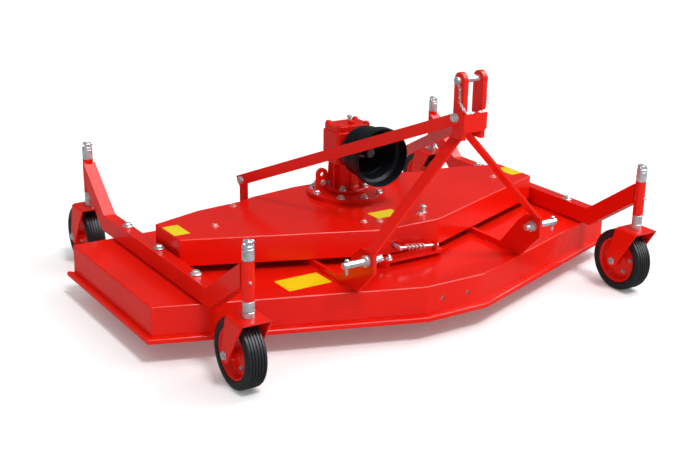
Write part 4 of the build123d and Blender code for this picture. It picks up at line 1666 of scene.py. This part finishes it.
@dataclass
class Studio:
    """Pale floor, white surroundings, soft lights and the camera.

    Args:
        camera_place: Where the camera stands.
        heading: Turn of its view from +Y towards +X, in radians.
        dip: Dip of its view below the horizon, in radians.
        roll: Roll about its view, in radians.
        lens: Focal length in millimetres.
        sensor: Width of the camera's sensor in millimetres.
        floor_half: Half the width of the floor.
        floor_tone: Grey of the floor.
        floor_reflected_share: Share of that grey that shows in reflections.
        floor_glow: Light that the floor gives of itself.
        floor_roughness: Roughness of the floor.
        floor_specular: Specular level of the floor.
        bright_side: Direction of the bright side of the surroundings.
        sky_edge: Cosines between which the surroundings go from dim to bright.
        sky_levels: Brightness of the surroundings on the far and the bright side.
        patch_edge: Cosines between which the bright patch in reflections begins.
        reflected_levels: Brightness in reflections outside and inside that patch.
        key_place: Where the key light shines from.
        key_spread: Angle that the key light fills, in radians.
        key_power: Strength of the key light.
        box_place: Place of the soft box.
        box_lie: Direction of the soft box's long side.
        box_size: Length and height of the soft box.
        box_power: Power of the soft box.
    """

    camera_place: Point = (-2.2843, -3.4497, 1.6014)
    heading: float = 0.5847
    dip: float = 0.3347
    roll: float = 0.0197
    lens: float = 61.29
    sensor: float = 36.0
    floor_half: float = 30.0
    floor_tone: float = 0.93
    floor_reflected_share: float = 0.12
    floor_glow: float = 0.12
    floor_roughness: float = 0.9
    floor_specular: float = 0.1
    bright_side: Point = (0.50, -0.28, 0.82)
    sky_edge: Station = (-0.7, 0.8)
    sky_levels: Station = (0.28, 0.60)
    patch_edge: Station = (0.70, 0.94)
    reflected_levels: Station = (0.12, 8.0)
    key_place: Point = (0.1, -2.5, 4.5)
    key_spread: float = 0.20
    key_power: float = 1.52
    box_place: Point = (2.0, -1.0, 3.3)
    box_lie: Point = (0.70, 0.32, -0.34)
    box_size: Station = (3.8, 1.0)
    box_power: float = 42.0

    def build(self) -> None:
        """Build the whole studio."""
        self.build_camera()
        self.build_floor()
        self.build_surroundings()
        self.build_lights()
        bpy.context.scene.view_settings.view_transform = "Standard"

    def build_camera(self) -> None:
        """Stand the camera where the photograph was taken from."""
        ahead = Vector(
            (
                math.sin(self.heading) * math.cos(self.dip),
                math.cos(self.heading) * math.cos(self.dip),
                -math.sin(self.dip),
            )
        )
        level = Vector((math.cos(self.heading), -math.sin(self.heading), 0.0))
        upright = level.cross(ahead)
        right = level * math.cos(self.roll) + upright * math.sin(self.roll)
        top = upright * math.cos(self.roll) - level * math.sin(self.roll)
        data = bpy.data.cameras.new("photo_camera")
        data.lens = self.lens
        data.sensor_width = self.sensor
        camera = bpy.data.objects.new("photo_camera", data)
        bpy.context.scene.collection.objects.link(camera)
        axes = Matrix((right, top, -ahead)).transposed().to_4x4()
        camera.matrix_world = Matrix.Translation(Vector(self.camera_place)) @ axes
        bpy.context.scene.camera = camera

    def build_floor(self) -> None:
        """Lay the pale floor."""
        bpy.ops.object.select_all(action="DESELECT")
        bpy.ops.mesh.primitive_plane_add(size=2 * self.floor_half)
        floor = bpy.context.object
        floor.name = "studio_floor"
        pale = bpy.data.materials.new("studio_floor")
        pale.use_nodes = True
        shader = pale.node_tree.nodes["Principled BSDF"]
        shader.inputs["Roughness"].default_value = self.floor_roughness
        shader.inputs["Emission Color"].default_value = WHITE
        shader.inputs["Emission Strength"].default_value = self.floor_glow
        shader.inputs["Specular IOR Level"].default_value = self.floor_specular
        ray = pale.node_tree.nodes.new("ShaderNodeLightPath")
        tone = pale.node_tree.nodes.new("ShaderNodeMapRange")
        tone.inputs["To Min"].default_value = self.floor_tone
        tone.inputs["To Max"].default_value = self.floor_tone * self.floor_reflected_share
        pale.node_tree.links.new(ray.outputs["Is Glossy Ray"], tone.inputs["Value"])
        pale.node_tree.links.new(tone.outputs["Result"], shader.inputs["Base Color"])
        floor.data.materials.append(pale)

    def build_surroundings(self) -> None:
        """Set surroundings that are soft all round, with one bright patch in reflections."""
        world = bpy.data.worlds.new("studio")
        bpy.context.scene.world = world
        world.use_nodes = True
        nodes, links = world.node_tree.nodes, world.node_tree.links
        sky = nodes["Background"]
        sky.inputs["Color"].default_value = WHITE
        direction = nodes.new("ShaderNodeTexCoord")
        facing = nodes.new("ShaderNodeVectorMath")
        facing.operation = "DOT_PRODUCT"
        facing.inputs[1].default_value = Vector(self.bright_side).normalized()
        links.new(direction.outputs["Generated"], facing.inputs[0])
        levels = []
        for (low, high), (dim, bright) in (
            (self.sky_edge, self.sky_levels), (self.patch_edge, self.reflected_levels)
        ):
            level = nodes.new("ShaderNodeMapRange")
            level.interpolation_type = "SMOOTHSTEP"
            level.inputs["From Min"].default_value = low
            level.inputs["From Max"].default_value = high
            level.inputs["To Min"].default_value = dim
            level.inputs["To Max"].default_value = bright
            links.new(facing.outputs["Value"], level.inputs["Value"])
            levels.append(level)
        ray = nodes.new("ShaderNodeLightPath")
        choice = nodes.new("ShaderNodeMapRange")
        links.new(ray.outputs["Is Glossy Ray"], choice.inputs["Value"])
        links.new(levels[0].outputs["Result"], choice.inputs["To Min"])
        links.new(levels[1].outputs["Result"], choice.inputs["To Max"])
        links.new(choice.outputs["Result"], sky.inputs["Strength"])

    def build_lights(self) -> None:
        """Set the soft key light and a soft box above."""
        key = bpy.data.lights.new("key", "SUN")
        key.angle = self.key_spread
        key.energy = self.key_power
        box = bpy.data.lights.new("soft_box", "AREA")
        box.shape = "RECTANGLE"
        box.size, box.size_y = self.box_size
        box.energy = self.box_power
        for data, spot, lie in (
            (key, self.key_place, (1.0, 0.0, 0.0)), (box, self.box_place, self.box_lie)
        ):
            light = bpy.data.objects.new(data.name, data)
            bpy.context.scene.collection.objects.link(light)
            back = Vector(spot).normalized()
            across = (Vector(lie) - back * back.dot(Vector(lie))).normalized()
            axes = Matrix((across, back.cross(across), back)).transposed().to_4x4()
            light.matrix_world = Matrix.Translation(Vector(spot)) @ axes


def main() -> None:
    """Build the mower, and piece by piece."""
    logging.basicConfig(level=logging.INFO, format="%(name)s %(message)s")
    parts = [Deck(), BeltCover(), SideBeams(), Hitch(), Mast(), Gearbox(), Tensioner(), CuttingGear()]
    parts += [Castor(name) for name in CASTORS]
    for part in parts:
        part.build()
        log.info("%s built", type(part).__name__)
    Studio().build()


if __name__ == "__main__":
    main()
